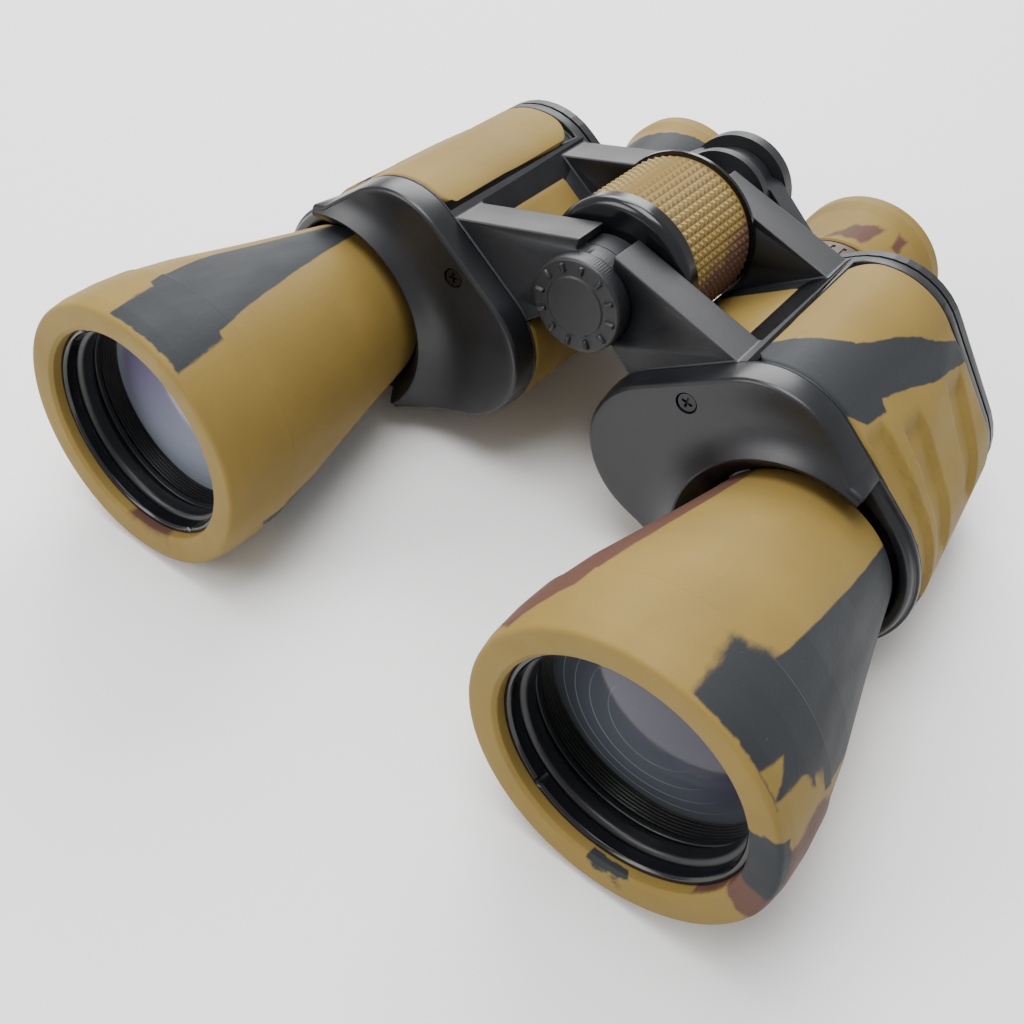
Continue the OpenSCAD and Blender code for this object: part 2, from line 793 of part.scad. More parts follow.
module eyecup() {
  rim_y = eyecup_rear_y;
  color("darkkhaki") at_eye() turned([
    [eye_spigot_r, eyecup_y],
    [collar_r - 0.4, eyecup_y],
    [collar_r, eyecup_y + 0.5],
    [collar_r + 0.5, eyecup_y + 5],
    [eyecup_r - 1.1, rim_y - 8],
    [eyecup_r, rim_y - 4.6],
    [eyecup_r, rim_y - 0.7],
    [eyecup_r - 0.5, rim_y],
    [eyecup_r - eyecup_wall, rim_y],
    [eyecup_r - eyecup_wall - 0.4, rim_y - 3],
    [eye_spigot_r + 1.2, eye_spigot_end_y + 0.4],
    [eye_bore_r, eye_spigot_end_y + 0.4],
    [eye_bore_r, eye_spigot_end_y],
    [eye_spigot_r, eye_spigot_end_y]
  ]);
}

module left_front_cover() placed() left() front_cover();
module right_front_cover() placed() front_cover();
module left_rear_cover() placed() left() rear_cover();
module right_rear_cover() placed() rear_cover();
module left_front_screw() placed() left() front_screw();
module right_front_screw() placed() front_screw();
module left_rear_screws() placed() left() rear_screws();
module right_rear_screws() placed() rear_screws();
module left_body_armor() placed() left() body_armor();
module right_body_armor() placed() body_armor();
module left_barrel() placed() left() barrel();
module right_barrel() placed() barrel();
module left_barrel_armor() placed() left() barrel_armor();
module right_barrel_armor() placed() barrel_armor();
module left_lens_cell() placed() left() lens_cell();
module right_lens_cell() placed() lens_cell();
module left_retaining_ring() placed() left() retaining_ring();
module right_retaining_ring() placed() retaining_ring();
module left_objective_crown() placed() left() objective_crown();
module right_objective_crown() placed() objective_crown();
module left_objective_flint() placed() left() objective_flint();
module right_objective_flint() placed() objective_flint();
module left_front_prism() placed() left() front_prism();
module right_front_prism() placed() front_prism();
module left_rear_prism() placed() left() rear_prism();
module right_rear_prism() placed() rear_prism();
module left_prism_shelf() placed() left() prism_shelf();
module right_prism_shelf() placed() prism_shelf();
module left_prism_clips() placed() left() prism_clips();
module right_prism_clips() placed() prism_clips();
module left_eyepiece_guide() placed() left() eyepiece_guide();
module right_eyepiece_guide() placed() eyepiece_guide();
module left_eyepiece_tube() placed() left() fixed_eyepiece_tube();
module right_eyepiece_tube() placed() turning_eyepiece_tube();
module left_field_lens() placed() left() field_lens();
module right_field_lens() placed() field_lens();
module left_eye_lens() placed() left() eye_lens();
module right_eye_lens() placed() eye_lens();
module left_eyecup() placed() left() eyecup();
module right_eyecup() placed() eyecup();

left_housing();
left_front_cover();
left_rear_cover();
left_front_screw();
left_rear_screws();
left_body_armor();
left_barrel();
left_barrel_armor();
left_lens_cell();
left_retaining_ring();
left_objective_crown();
left_objective_flint();
left_front_prism();
left_rear_prism();
left_prism_shelf();
left_prism_clips();
left_eyepiece_guide();
left_eyepiece_tube();
left_field_lens();
left_eye_lens();
left_eyecup();
right_housing();
right_front_cover();
right_rear_cover();
right_front_screw();
right_rear_screws();
right_body_armor();
right_barrel();
right_barrel_armor();
right_lens_cell();
right_retaining_ring();
right_objective_crown();
right_objective_flint();
right_front_prism();
right_rear_prism();
right_prism_shelf();
right_prism_clips();
right_eyepiece_guide();
right_eyepiece_tube();
right_field_lens();
right_eye_lens();
right_eyecup();
diopter_ring();
diopter_cell();
hinge_shaft();
socket_insert();
socket_cap();
thrust_washer();
wheel_core();
wheel_grip();
wheel_nut();
wheel_rear_rim();
focus_screw();
bridge_left();
bridge_right();
hub_cap();
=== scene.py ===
"""Porro prism binoculars in camouflage rubber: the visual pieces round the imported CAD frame."""

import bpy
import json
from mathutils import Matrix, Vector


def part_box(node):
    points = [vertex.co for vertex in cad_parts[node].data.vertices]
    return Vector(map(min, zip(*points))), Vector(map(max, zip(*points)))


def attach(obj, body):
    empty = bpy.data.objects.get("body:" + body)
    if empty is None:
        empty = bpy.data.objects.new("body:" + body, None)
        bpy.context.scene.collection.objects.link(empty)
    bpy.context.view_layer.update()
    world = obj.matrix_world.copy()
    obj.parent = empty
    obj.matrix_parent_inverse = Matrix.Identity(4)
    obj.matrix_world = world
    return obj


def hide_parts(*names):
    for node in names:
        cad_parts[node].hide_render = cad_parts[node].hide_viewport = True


bl_info = {
    "name": "Porro Binoculars",
    "version": (1, 0, 0),
    "blender": (4, 5, 0),
    "location": "View3D > Sidebar > Binoculars",
    "description": "Builds rubber, covers, grip, caps and finishes for a pair of Porro prism binoculars",
    "category": "Add Mesh",
}

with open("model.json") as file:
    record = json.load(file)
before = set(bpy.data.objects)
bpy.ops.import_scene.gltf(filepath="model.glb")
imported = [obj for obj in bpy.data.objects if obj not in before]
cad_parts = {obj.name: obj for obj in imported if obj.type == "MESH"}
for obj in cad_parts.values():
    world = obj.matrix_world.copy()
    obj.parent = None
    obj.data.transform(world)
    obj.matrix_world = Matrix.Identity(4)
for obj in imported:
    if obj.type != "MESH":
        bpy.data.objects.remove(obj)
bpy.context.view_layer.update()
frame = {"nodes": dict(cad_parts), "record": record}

import json
import math

import bmesh
import bpy
from bpy.props import FloatProperty, FloatVectorProperty, IntProperty, PointerProperty
from mathutils import Matrix, Vector

MM = 0.001
SIDES = {"right": 1, "left": -1}
BODY_OF = {
    node: body
    for body, nodes in frame["record"]["behaviour"]["bodies"].items()
    for node in nodes
}
SLOT_OF = {
    node: obj.data.materials[0].name.split(".")[0] for node, obj in frame["nodes"].items()
}


# -------- places, in millimetres


BOXES = {node: [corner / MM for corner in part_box(node)] for node in frame["nodes"]}


def low(node):
    return BOXES[node][0]


def high(node):
    return BOXES[node][1]


def middle(node):
    return (low(node) + high(node)) / 2


HINGE_Z = middle("hinge_shaft").z
OBJECTIVE = middle("right_lens_cell")
EYE = middle("right_eyepiece_tube")
LIP_Y = low("right_barrel_armor").y
NECK_Y = high("right_barrel_armor").y
CASE_Y = high("right_front_cover").y
CREST_Y = low("right_front_cover").y
REAR_COVER_Y = low("right_rear_cover").y
WHEEL_TOP = high("wheel_grip").z
HOOD_R = high("right_barrel_armor").x - OBJECTIVE.x
CELL_R = high("right_lens_cell").x - OBJECTIVE.x

# The visible ring, cell and lens sit a little ahead of their plain CAD solids
RING_Y = LIP_Y + 3.0
LENS_R = CELL_R - 2.0
LENS_EDGE_Y = LIP_Y + 16.8

# The prism frame: across runs along the front prism, down along the rear one
STEP = (OBJECTIVE - EYE).xz.length / math.sqrt(2)
TILT = math.atan2(OBJECTIVE.z - EYE.z, OBJECTIVE.x - EYE.x) + math.pi / 4
CASE_R = high("right_rear_cover").z - EYE.z - STEP * math.sin(TILT)
OUTER_FRONT_R = high("right_body_armor").x - OBJECTIVE.x
OUTER_REAR_R = high("right_rear_cover").x - OBJECTIVE.x

# Axes along Y as (x, z)
OBJECTIVE_AXIS = (OBJECTIVE.x, OBJECTIVE.z)
EYE_AXIS = (EYE.x, EYE.z)
# Length of one degree on the barrel rubber, in mm
BARREL_DEGREE = 0.48


def from_prism(across, down):
    """World x and z, in mm, of a point of the right prism frame"""
    x = EYE.x + across * math.cos(TILT) + down * math.sin(TILT)
    z = EYE.z + across * math.sin(TILT) - down * math.cos(TILT)
    return x, z


def mix(a, b, t):
    return a + (b - a) * t


def smooth(t):
    t = min(1.0, max(0.0, t))
    return t * t * (3 - 2 * t)


# -------- user sizes and colours


class BinocularSizes(bpy.types.PropertyGroup):
    """Sizes of the visible detail"""

    lip_round: FloatProperty(
        name="Lip rounding", description="Rounding of the rubber lip", subtype="DISTANCE",
        default=1.3 * MM,
    )
    neck_radius: FloatProperty(
        name="Neck radius", description="Barrel radius at the front cover", subtype="DISTANCE",
        default=20.9 * MM,
    )
    collar_radius: FloatProperty(
        name="Collar radius", description="Radius of the raised saddle edge", subtype="DISTANCE",
        default=26.4 * MM,
    )
    cell_steps: IntProperty(
        name="Cell steps", description="Light stopping steps ahead of the lens", default=6
    )
    groove_depth: FloatProperty(
        name="Groove depth", description="Depth of the finger grooves", subtype="DISTANCE",
        default=1.5 * MM,
    )
    pyramids_round: IntProperty(
        name="Pyramids round", description="Knurl pyramids round the focus wheel", default=58
    )
    pyramids_along: IntProperty(
        name="Pyramids along", description="Knurl pyramids along the focus wheel", default=13
    )
    cap_ticks: IntProperty(
        name="Cap ticks", description="Raised ticks on the socket cap", default=12
    )


class BinocularColours(bpy.types.PropertyGroup):
    """Base colours of the finishes"""

    sand: FloatVectorProperty(
        name="Sand", description="Main colour of the rubber", subtype="COLOR",
        default=(0.225, 0.152, 0.038),
    )
    slate: FloatVectorProperty(
        name="Slate", description="Dark patches of the rubber", subtype="COLOR",
        default=(0.027, 0.030, 0.033),
    )
    earth: FloatVectorProperty(
        name="Earth", description="Brown patches of the rubber", subtype="COLOR",
        default=(0.095, 0.045, 0.031),
    )
    black: FloatVectorProperty(
        name="Black", description="Moulded plastic", subtype="COLOR",
        default=(0.0105, 0.0112, 0.0138),
    )


# -------- shader maths


class Wire:
    """A node socket that Python sums work on: each sum adds one Math node."""

    def __init__(self, paint, socket):
        self.paint = paint
        self.socket = socket

    def __add__(self, other):
        return self.paint.math("ADD", self, other)

    __radd__ = __add__

    def __sub__(self, other):
        return self.paint.math("SUBTRACT", self, other)

    def __rsub__(self, other):
        return self.paint.math("SUBTRACT", other, self)

    def __mul__(self, other):
        return self.paint.math("MULTIPLY", self, other)

    __rmul__ = __mul__

    def __truediv__(self, other):
        return self.paint.math("DIVIDE", self, other)

    def lower(self, other):
        return self.paint.math("MINIMUM", self, other)

    def higher(self, other):
        return self.paint.math("MAXIMUM", self, other)


class Paint:
    """One material's node tree."""

    def __init__(self, name):
        self.material = bpy.data.materials.new(name)
        self.material.use_nodes = True
        self.tree = self.material.node_tree
        self.tree.nodes.clear()
        self.place = self.out("ShaderNodeTexCoord", "Object")

    def node(self, kind, settings=None, sockets=None):
        """A node of that type: its settings first, then the values or links of its sockets"""
        node = self.tree.nodes.new(kind)
        for key, value in (settings or {}).items():
            setattr(node, key, value)
        for key, value in (sockets or {}).items():
            if isinstance(value, Wire):
                self.tree.links.new(value.socket, node.inputs[key])
            else:
                node.inputs[key].default_value = value
        return node

    def out(self, kind, output=0, settings=None, sockets=None):
        return Wire(self, self.node(kind, settings, sockets).outputs[output])

    def math(self, operation, *terms):
        return self.out("ShaderNodeMath", 0, {"operation": operation}, dict(enumerate(terms)))

    def colours(self, factor, first, second):
        """Colour mix from first to second"""
        return self.out(
            "ShaderNodeMix", 2, {"data_type": "RGBA"}, {0: factor, 6: first, 7: second}
        )

    def noise(self, scale, detail=3.0, stretch=None, roughness=0.5):
        """Noise from 0 to 1 with its scale in waves per metre"""
        place = self.place
        if stretch:
            place = self.out(
                "ShaderNodeVectorMath", 0, {"operation": "MULTIPLY"}, {0: place, 1: stretch}
            )
        return self.out(
            "ShaderNodeTexNoise", 0, None,
            {"Vector": place, "Scale": scale, "Detail": detail, "Roughness": roughness},
        )

    def step(self, value, start, end):
        """0 below start, 1 above end, smooth between"""
        return self.out(
            "ShaderNodeMapRange", 0, {"interpolation_type": "SMOOTHSTEP"},
            {"Value": value, "From Min": start, "From Max": end},
        )

    def bump(self, height, strength, distance):
        return self.out(
            "ShaderNodeBump", 0, None,
            {"Height": height, "Strength": strength, "Distance": distance},
        )

    def surface(self, **sockets):
        """Principled surface from sockets named with underscores"""
        named = {key.replace("_", " "): value for key, value in sockets.items()}
        shader = self.out("ShaderNodeBsdfPrincipled", 0, None, named)
        self.node("ShaderNodeOutputMaterial", None, {"Surface": shader})
        return self.material


def solid(colour):
    return (*colour, 1.0)


def shade(colour, factor):
    return (*(channel * factor for channel in colour), 1.0)


# -------- camouflage


def turned_place(paint, centre, side, length_start):
    """Angle in degrees round an axis along Y, 0 outwards and 90 up, and mm behind length_start"""
    split = paint.node("ShaderNodeSeparateXYZ", None, {0: paint.place})
    x, y, z = (Wire(paint, split.outputs[k]) for k in range(3))
    outward = (x - side * centre[0] * MM) * side
    angle = paint.math("ARCTAN2", z - centre[1] * MM, outward) * (180 / math.pi)
    return angle, y / MM - length_start


def wrapped_place(paint, length_start):
    """Distance round a case in mm, from the mesh, and mm behind length_start"""
    split = paint.node("ShaderNodeSeparateXYZ", None, {0: paint.place})
    run = paint.out("ShaderNodeAttribute", "Fac", {"attribute_name": "run"})
    return run, Wire(paint, split.outputs[1]) / MM - length_start


def patch(paint, where, corners, across_mm):
    """Depth in mm inside a convex patch of corners (across, along), one unit across in mm given"""
    across, along = where
    area = sum(
        a[0] * b[1] - b[0] * a[1] for a, b in zip(corners, corners[1:] + corners[:1])
    )
    turn = 1 if area > 0 else -1
    depth = None
    for (a0, l0), (a1, l1) in zip(corners, corners[1:] + corners[:1]):
        run, rise = (a1 - a0) * across_mm, l1 - l0
        length = math.hypot(run, rise)
        normal = (-rise * turn / length * across_mm, run * turn / length)
        offset = normal[0] * a0 + normal[1] * l0
        edge = across * normal[0] + along * normal[1] - offset
        depth = edge if depth is None else depth.lower(edge)
    return depth


def camouflage(name, where_of, patches, across_mm, seed, over_lip=()):
    """Moulded rubber with torn patches: each patch is (colour, softness, torn mm, corners)"""
    tones = bpy.context.scene.binocular_colours
    paint = Paint(name)
    where = where_of(paint)
    swirl = paint.noise(42, 2.0)
    fine = paint.noise(900, 4.0)
    colour = paint.colours(
        paint.step(swirl, 0.35, 0.7), shade(tones.sand, 0.93), shade(tones.sand, 1.07)
    )
    for tone, softness, torn, corners in [*patches, *over_lip]:
        depth = patch(paint, where, corners, across_mm)
        edge = paint.noise(190 + 30 * seed, 6.0, stretch=(1.0, 0.35, 1.0), roughness=0.62)
        edge = (edge - 0.5) * (4.0 * torn) + depth
        mask = paint.step(edge, -softness, softness)
        if over_lip and (tone, softness, torn, corners) not in over_lip:
            mask = mask * paint.step(where[1], 0.75, 1.15)
        colour = paint.colours(mask, colour, solid(getattr(tones, tone)))
    dust = paint.step(paint.noise(1400, 1.0), 0.78, 0.86)
    colour = paint.colours(dust * 0.25, colour, shade(tones.sand, 1.5))
    scuff = paint.noise(160, 5.0, stretch=(1.0, 0.2, 1.0))
    return paint.surface(
        Base_Color=colour,
        Roughness=paint.step(scuff, 0.2, 0.8) * 0.14 + 0.54,
        Specular_IOR_Level=0.2,
        Normal=paint.bump(fine + scuff * 0.6, 0.10, 0.0006),
    )


# Patches of (colour, softness in mm, torn edge in mm, corners of degrees or mm across, mm along)
BARREL_PATCHES = {
    "left": [
        ("slate", 0.2, 0.35, [(70, 73), (72, 34), (80, 14), (122, 4), (118, 15), (107, 38), (94, 74)]),
        ("slate", 0.3, 0.9, [(83, 18), (85, 1.2), (122, 1.2), (118, 14)]),
        ("slate", 0.4, 1.2, [(-160, 10), (-110, 30), (-120, 66), (-150, 50)]),
        ("slate", 0.4, 1.2, [(-20, 20), (12, 8), (10, 40), (-22, 46)]),
    ],
    "right": [
        ("slate", 0.25, 0.3, [(42, 74), (54, 45), (64, 17), (20, 15), (2, 40), (0, 74)]),
        ("slate", 1.2, 1.5, [(77, 15), (77, 1.5), (52, 1.2), (22, 17), (60, 20)]),
        ("slate", 0.3, 0.5, [(74, 8), (76, 1.2), (34, 1.2), (24, 12), (50, 14)]),
        ("sand", 0.4, 0.8, [(45, 7.5), (47, 1.5), (37, 1.5), (40, 4)]),
        ("sand", 0.5, 1.2, [(34, 9), (36, 1.5), (18, 1.5), (14, 8), (22, 14)]),
        ("earth", 0.6, 1.3, [(20, 14), (14, 1.5), (-40, 1.5), (-46, 30), (-6, 34), (10, 20)]),
        ("earth", 0.4, 0.5, [(130, 74), (128, 30), (130, 12), (146, 1.5), (176, 10), (166, 74)]),
        ("slate", 0.4, 1.2, [(-130, 14), (-90, 24), (-96, 60), (-140, 66)]),
    ],
}
# Patches that reach over the face of the lip
LIP_PATCHES = {
    "left": [("earth", 0.8, 0.8, [(-112, 1), (-82, 1), (-84, 5), (-110, 5)])],
    "right": [
        ("slate", 0.3, 0.9, [(22, 2.5), (24, -2), (-8, -2), (-6, 2.5)]),
        ("earth", 0.4, 0.9, [(-4, 3), (-5, -2), (-20, -2), (-18, 3)]),
        ("slate", 0.2, 0.7, [(-90, 2.4), (-91, 0.4), (-70, 0.4), (-73, 2.4)]),
    ],
}
ARMOUR_PATCHES = {
    "left": [
        ("earth", 2.6, 1.6, [(98, -2), (170, -2), (170, 54), (106, 54)]),
        ("slate", 0.3, 0.9, [(60, 6), (84, 20), (92, 54), (70, 54), (56, 30)]),
    ],
    "right": [
        ("slate", 0.25, 0.5, [(20, -2), (20, 4), (37, 14), (46, -2)]),
        ("slate", 0.25, 0.6, [(26, 8), (39, 18), (53.5, 12), (52.5, 4), (46, -2), (20, -2)]),
        ("slate", 0.25, 0.6, [(38, 17), (43.5, 29), (51, 50), (60.5, 52), (57, 38), (54, 20), (52, 6)]),
        ("earth", 0.8, 1.8, [(96, 2), (128, 8), (132, 50), (104, 50)]),
    ],
}
EYECUP_PATCHES = {
    "left": [("slate", 0.3, 0.9, [(20, -14), (150, -14), (126, 15), (94, 18), (56, 12), (30, 10)])],
    "right": [
        ("earth", 0.9, 1.6, [(112, 2), (84, 3), (76, 12), (100, 9)]),
        ("earth", 0.8, 1.2, [(64, 8), (56, 8), (58, 14), (66, 14)]),
        ("earth", 0.8, 1.6, [(-60, 2), (-20, 2), (-30, 18), (-50, 18)]),
    ],
}


# -------- other finishes


def moulded(name, colour, roughness, sparkle, grain, specular=0.5):
    """Moulded black plastic: satin skin, fine grain and faint bright specks"""
    paint = Paint(name)
    grains = paint.noise(2600, 2.0)
    cloud = paint.noise(70, 3.0)
    speck = paint.step(paint.noise(5200, 0.0), 0.70, 0.80)
    worn = paint.step(cloud, 0.3, 0.75)
    base = paint.colours(worn, shade(colour, 0.85), shade(colour, 1.2))
    base = paint.colours(speck * sparkle, base, shade(colour, 6.0))
    return paint.surface(
        Base_Color=base,
        Roughness=worn * 0.08 + roughness - 0.04,
        Specular_IOR_Level=specular,
        Normal=paint.bump(grains, grain, 0.0003),
    )


def metal(name, colour, roughness):
    """Turned metal with fine rings and cloudy dulling"""
    paint = Paint(name)
    rings = paint.noise(600, 3.0, stretch=(0.2, 3.0, 0.2))
    return paint.surface(
        Base_Color=paint.colours(rings, shade(colour, 0.8), shade(colour, 1.1)),
        Metallic=1.0,
        Roughness=paint.step(rings, 0.2, 0.9) * 0.2 + roughness,
        Normal=paint.bump(rings, 0.08, 0.0002),
    )


def lens_glass(name, tint, body, seen):
    """Coated glass: pale reflecting bloom over a half clear body"""
    paint = Paint(name)
    cloud = paint.step(paint.noise(24, 2.0), 0.3, 0.7)
    return paint.surface(
        Base_Color=paint.colours(cloud, tint, body),
        Roughness=cloud * 0.03 + 0.04,
        Alpha=paint.step(cloud, -1.0, 2.0) * 0.1 + seen,
        Specular_IOR_Level=0.8,
        Coat_Weight=0.6,
        Coat_Roughness=0.02,
    )


def objective_glass(name, side):
    """Coated objective: violet middle, blue grey edge, painted light that pales its lower inner side, a
    painted reflection that brightens the left lens, and faint painted highlights of the inner rings of
    the cell
    """
    paint = Paint(name)
    split = paint.node("ShaderNodeSeparateXYZ", None, {0: paint.place})
    outward = (Wire(paint, split.outputs[0]) / MM - side * OBJECTIVE.x) * side
    upward = Wire(paint, split.outputs[2]) / MM - OBJECTIVE.z
    radius = paint.math("SQRT", outward * outward + upward * upward)
    # painted light: the lower inner side of the lens turns a paler blue grey
    painted_light_side = paint.step(outward * -0.6 - upward, -14.0, 16.0)
    # painted reflection: the left lens's colours are brightened, as if it mirrored more of the light
    # room
    bright = 1.0 if side > 0 else 3.2
    colour = paint.colours(
        painted_light_side, shade((0.046, 0.041, 0.066), bright), shade((0.075, 0.083, 0.10), bright)
    )
    colour = paint.colours(
        paint.step(radius, LENS_R - 5, LENS_R), colour, shade((0.085, 0.095, 0.11), bright)
    )
    # painted highlights: faint bright rings of the cell, drawn only on the lens's lower inner side
    rings = None
    for at in (0.9, 0.775, 0.62, 0.43):
        away = paint.math("ABSOLUTE", radius - LENS_R * at)
        line = 1.0 - paint.step(away, 0.02, 0.2)
        rings = line if rings is None else rings.higher(line)
    rings = rings * paint.step(outward * -0.6 - upward, -2.0, 22.0) * (0.5 if side > 0 else 0.25)
    colour = paint.colours(rings, colour, (0.42, 0.45, 0.50, 1.0))
    dust = paint.step(paint.noise(900, 1.0), 0.74, 0.82)
    return paint.surface(
        Base_Color=paint.colours(dust * 0.12, colour, (0.5, 0.5, 0.5, 1.0)),
        Roughness=dust * 0.2 + 0.1,
        Specular_IOR_Level=0.35,
        Coat_Weight=0.12,
        Coat_Roughness=0.03,
    )


def grip_finish(name):
    """Rubber of the focus wheel: sand with an earth area"""
    tones = bpy.context.scene.binocular_colours
    paint = Paint(name)
    angle, along = turned_place(paint, (0.0, HINGE_Z), 1, low("wheel_grip").y)
    fleck = paint.noise(240, 5.0)
    earth = paint.step((fleck - 0.5) * 30.0 + angle * -1.0 + along * 0.9, -20.0, 4.0)
    other_end = paint.step(angle, -120.0, -90.0)
    colour = paint.colours(earth * other_end, solid(tones.sand), solid(tones.earth))
    return paint.surface(
        Base_Color=colour,
        Roughness=fleck * 0.15 + 0.42,
        Specular_IOR_Level=0.4,
        Normal=paint.bump(paint.noise(1500, 3.0), 0.08, 0.0003),
    )


def camo_finish(name, centre, side, start, patches, seed, over_lip=()):
    """Camouflage on a piece turned about an axis along Y"""
    return camouflage(
        name, lambda paint: turned_place(paint, centre, side, start), patches, BARREL_DEGREE,
        seed, over_lip,
    )


def finishes():
    """Every material by its slot of the record"""
    tones = bpy.context.scene.binocular_colours
    black = tuple(tones.black)
    return {
        "case_plastic": moulded("case plastic", black, 0.46, 0.25, 0.12),
        "cover_plastic": moulded("cover plastic", shade(black, 0.85)[:3], 0.33, 0.10, 0.05),
        "gloss_black": moulded("gloss black", shade(black, 0.6)[:3], 0.2, 0.03, 0.02),
        "inner_black": moulded("inner black", shade(black, 0.55)[:3], 0.4, 0.05, 0.06),
        "screw_black": metal("blackened screw", (0.05, 0.05, 0.055), 0.3),
        "steel": metal("turned steel", (0.55, 0.55, 0.56), 0.25),
        "brass": metal("turned brass", (0.60, 0.42, 0.18), 0.28),
        "grip_rubber": grip_finish("grip rubber"),
        "dioptre_rubber": moulded("dioptre rubber", (0.085, 0.05, 0.038), 0.5, 0.0, 0.08, 0.4),
        "optical_glass": lens_glass(
            "optical glass", (0.05, 0.06, 0.09, 1.0), (0.03, 0.03, 0.05, 1.0), 0.25
        ),
        "coated_glass": lens_glass(
            "coated glass", (0.17, 0.18, 0.25, 1.0), (0.12, 0.15, 0.19, 1.0), 0.42
        ),
    }


# -------- mesh code


def rounded(corners, steps):
    """Closed outline through (a, b, radius) corners, each turned into a curve"""
    outline = []
    count = len(corners)
    for k, (a, b, radius) in enumerate(corners):
        here = Vector((a, b))
        if not radius:
            outline.append(tuple(here))
            continue
        before = Vector(corners[k - 1][:2]) - here
        after = Vector(corners[(k + 1) % count][:2]) - here
        half = before.angle(after) / 2
        reach = min(radius / max(math.tan(half), 0.02), before.length * 0.48, after.length * 0.48)
        start = here + before.normalized() * reach
        end = here + after.normalized() * reach
        for step in range(steps + 1):
            t = step / steps
            outline.append(tuple((1 - t) ** 2 * start + 2 * t * (1 - t) * here + t * t * end))
    return outline


def place_piece(name, mesh, node):
    """Links a mesh as a piece that rides with its CAD node and stands for it"""
    piece = bpy.data.objects.new(name, mesh)
    bpy.context.scene.collection.objects.link(piece)
    if node:
        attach(piece, BODY_OF[node])
        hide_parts(node)
    return piece


def make_piece(name, verts, faces, material, node, side, sharp=30, run=None):
    """A mesh piece from points in mm, on the body and slot of the CAD node that it stands for"""
    mesh = bpy.data.meshes.new(name)
    mesh.from_pydata([(side * x * MM, y * MM, z * MM) for x, y, z in verts], [], faces)
    if run:
        mesh.attributes.new("run", "FLOAT", "POINT").data.foreach_set("value", run)
    bm = bmesh.new()
    bm.from_mesh(mesh)
    bmesh.ops.remove_doubles(bm, verts=bm.verts, dist=0.002 * MM)
    bmesh.ops.recalc_face_normals(bm, faces=bm.faces)
    bm.to_mesh(mesh)
    bm.free()
    mesh.shade_smooth()
    mesh.set_sharp_from_angle(angle=math.radians(sharp))
    mesh.materials.append(material)
    return place_piece(name, mesh, node)


def closed_faces(turns, size):
    """Faces between closed outlines of that size, with the last outline joined to the first"""
    faces = []
    for i in range(turns):
        jump = ((i + 1) % turns - i) * size
        for k in range(size):
            a, b = i * size + k, i * size + (k + 1) % size
            faces.append((a, b, b + jump, a + jump))
    return faces


def ring_mesh(profile, centre, steps, shift=None):
    """Points and faces of a closed (radius, y) profile turned about an axis along Y"""
    verts = []
    for i in range(steps):
        angle = 2 * math.pi * i / steps
        for radius, y in profile:
            r = radius + (shift(angle, radius, y) if shift else 0.0)
            verts.append((centre[0] + r * math.cos(angle), y, centre[1] + r * math.sin(angle)))
    return verts, closed_faces(steps, len(profile))


def join(*parts):
    """One point and face list out of several"""
    verts = []
    faces = []
    for more_verts, more_faces in parts:
        base = len(verts)
        verts += more_verts
        faces += [tuple(base + v for v in face) for face in more_faces]
    return verts, faces


def loft(loops):
    """A closed solid through loops of equal count, with its first and last loop filled"""
    count = len(loops[0])
    verts = [point for loop in loops for point in loop]
    faces = [tuple(range(count)), tuple(range(len(verts) - count, len(verts)))]
    for i in range(len(loops) - 1):
        for k in range(count):
            a, b = i * count + k, i * count + (k + 1) % count
            faces.append((a, b, b + count, a + count))
    return verts, faces


def outer_r(y):
    """Case radius round the objective axis at y"""
    start = low("right_body_armor").y
    return mix(OUTER_FRONT_R, OUTER_REAR_R, (y - start) / (REAR_COVER_Y - start))


def case_path(y):
    """Points round the case from over the eyepiece: place, normal and nearness to the objective"""
    large = outer_r(y)
    right = math.asin((CASE_R - large) / STEP)
    under = math.radians(225) - math.acos((large - CASE_R) / (STEP * math.sqrt(2)))
    # middle across and down, radius, angles from and to, number of points, nearness
    arcs = [
        (STEP, 0.0, CASE_R, -math.pi / 2, right, 44, 0.0),
        (STEP, STEP, large, right, under, 40, 1.0),
        (0.0, 0.0, CASE_R, under, 1.5 * math.pi, 34, 0.0),
    ]
    flat_spacing = 1.3
    flat_bits = round(STEP / flat_spacing)
    path = []
    last = (0.0, -CASE_R)
    was_near = 0.0
    for a, d, radius, start, end, arc_bits, near in arcs:
        normal = (math.cos(start), math.sin(start))
        first = (a + radius * normal[0], d + radius * normal[1])
        for k in range(flat_bits):
            t = k / flat_bits
            place = (mix(last[0], first[0], t), mix(last[1], first[1], t))
            path.append((*place, *normal, mix(was_near, near, t)))
        for k in range(arc_bits):
            angle = mix(start, end, k / arc_bits)
            normal = (math.cos(angle), math.sin(angle))
            path.append((a + radius * normal[0], d + radius * normal[1], *normal, near))
        last = (a + radius * math.cos(end), d + radius * math.sin(end))
        was_near = near
    return path


# -------- barrels


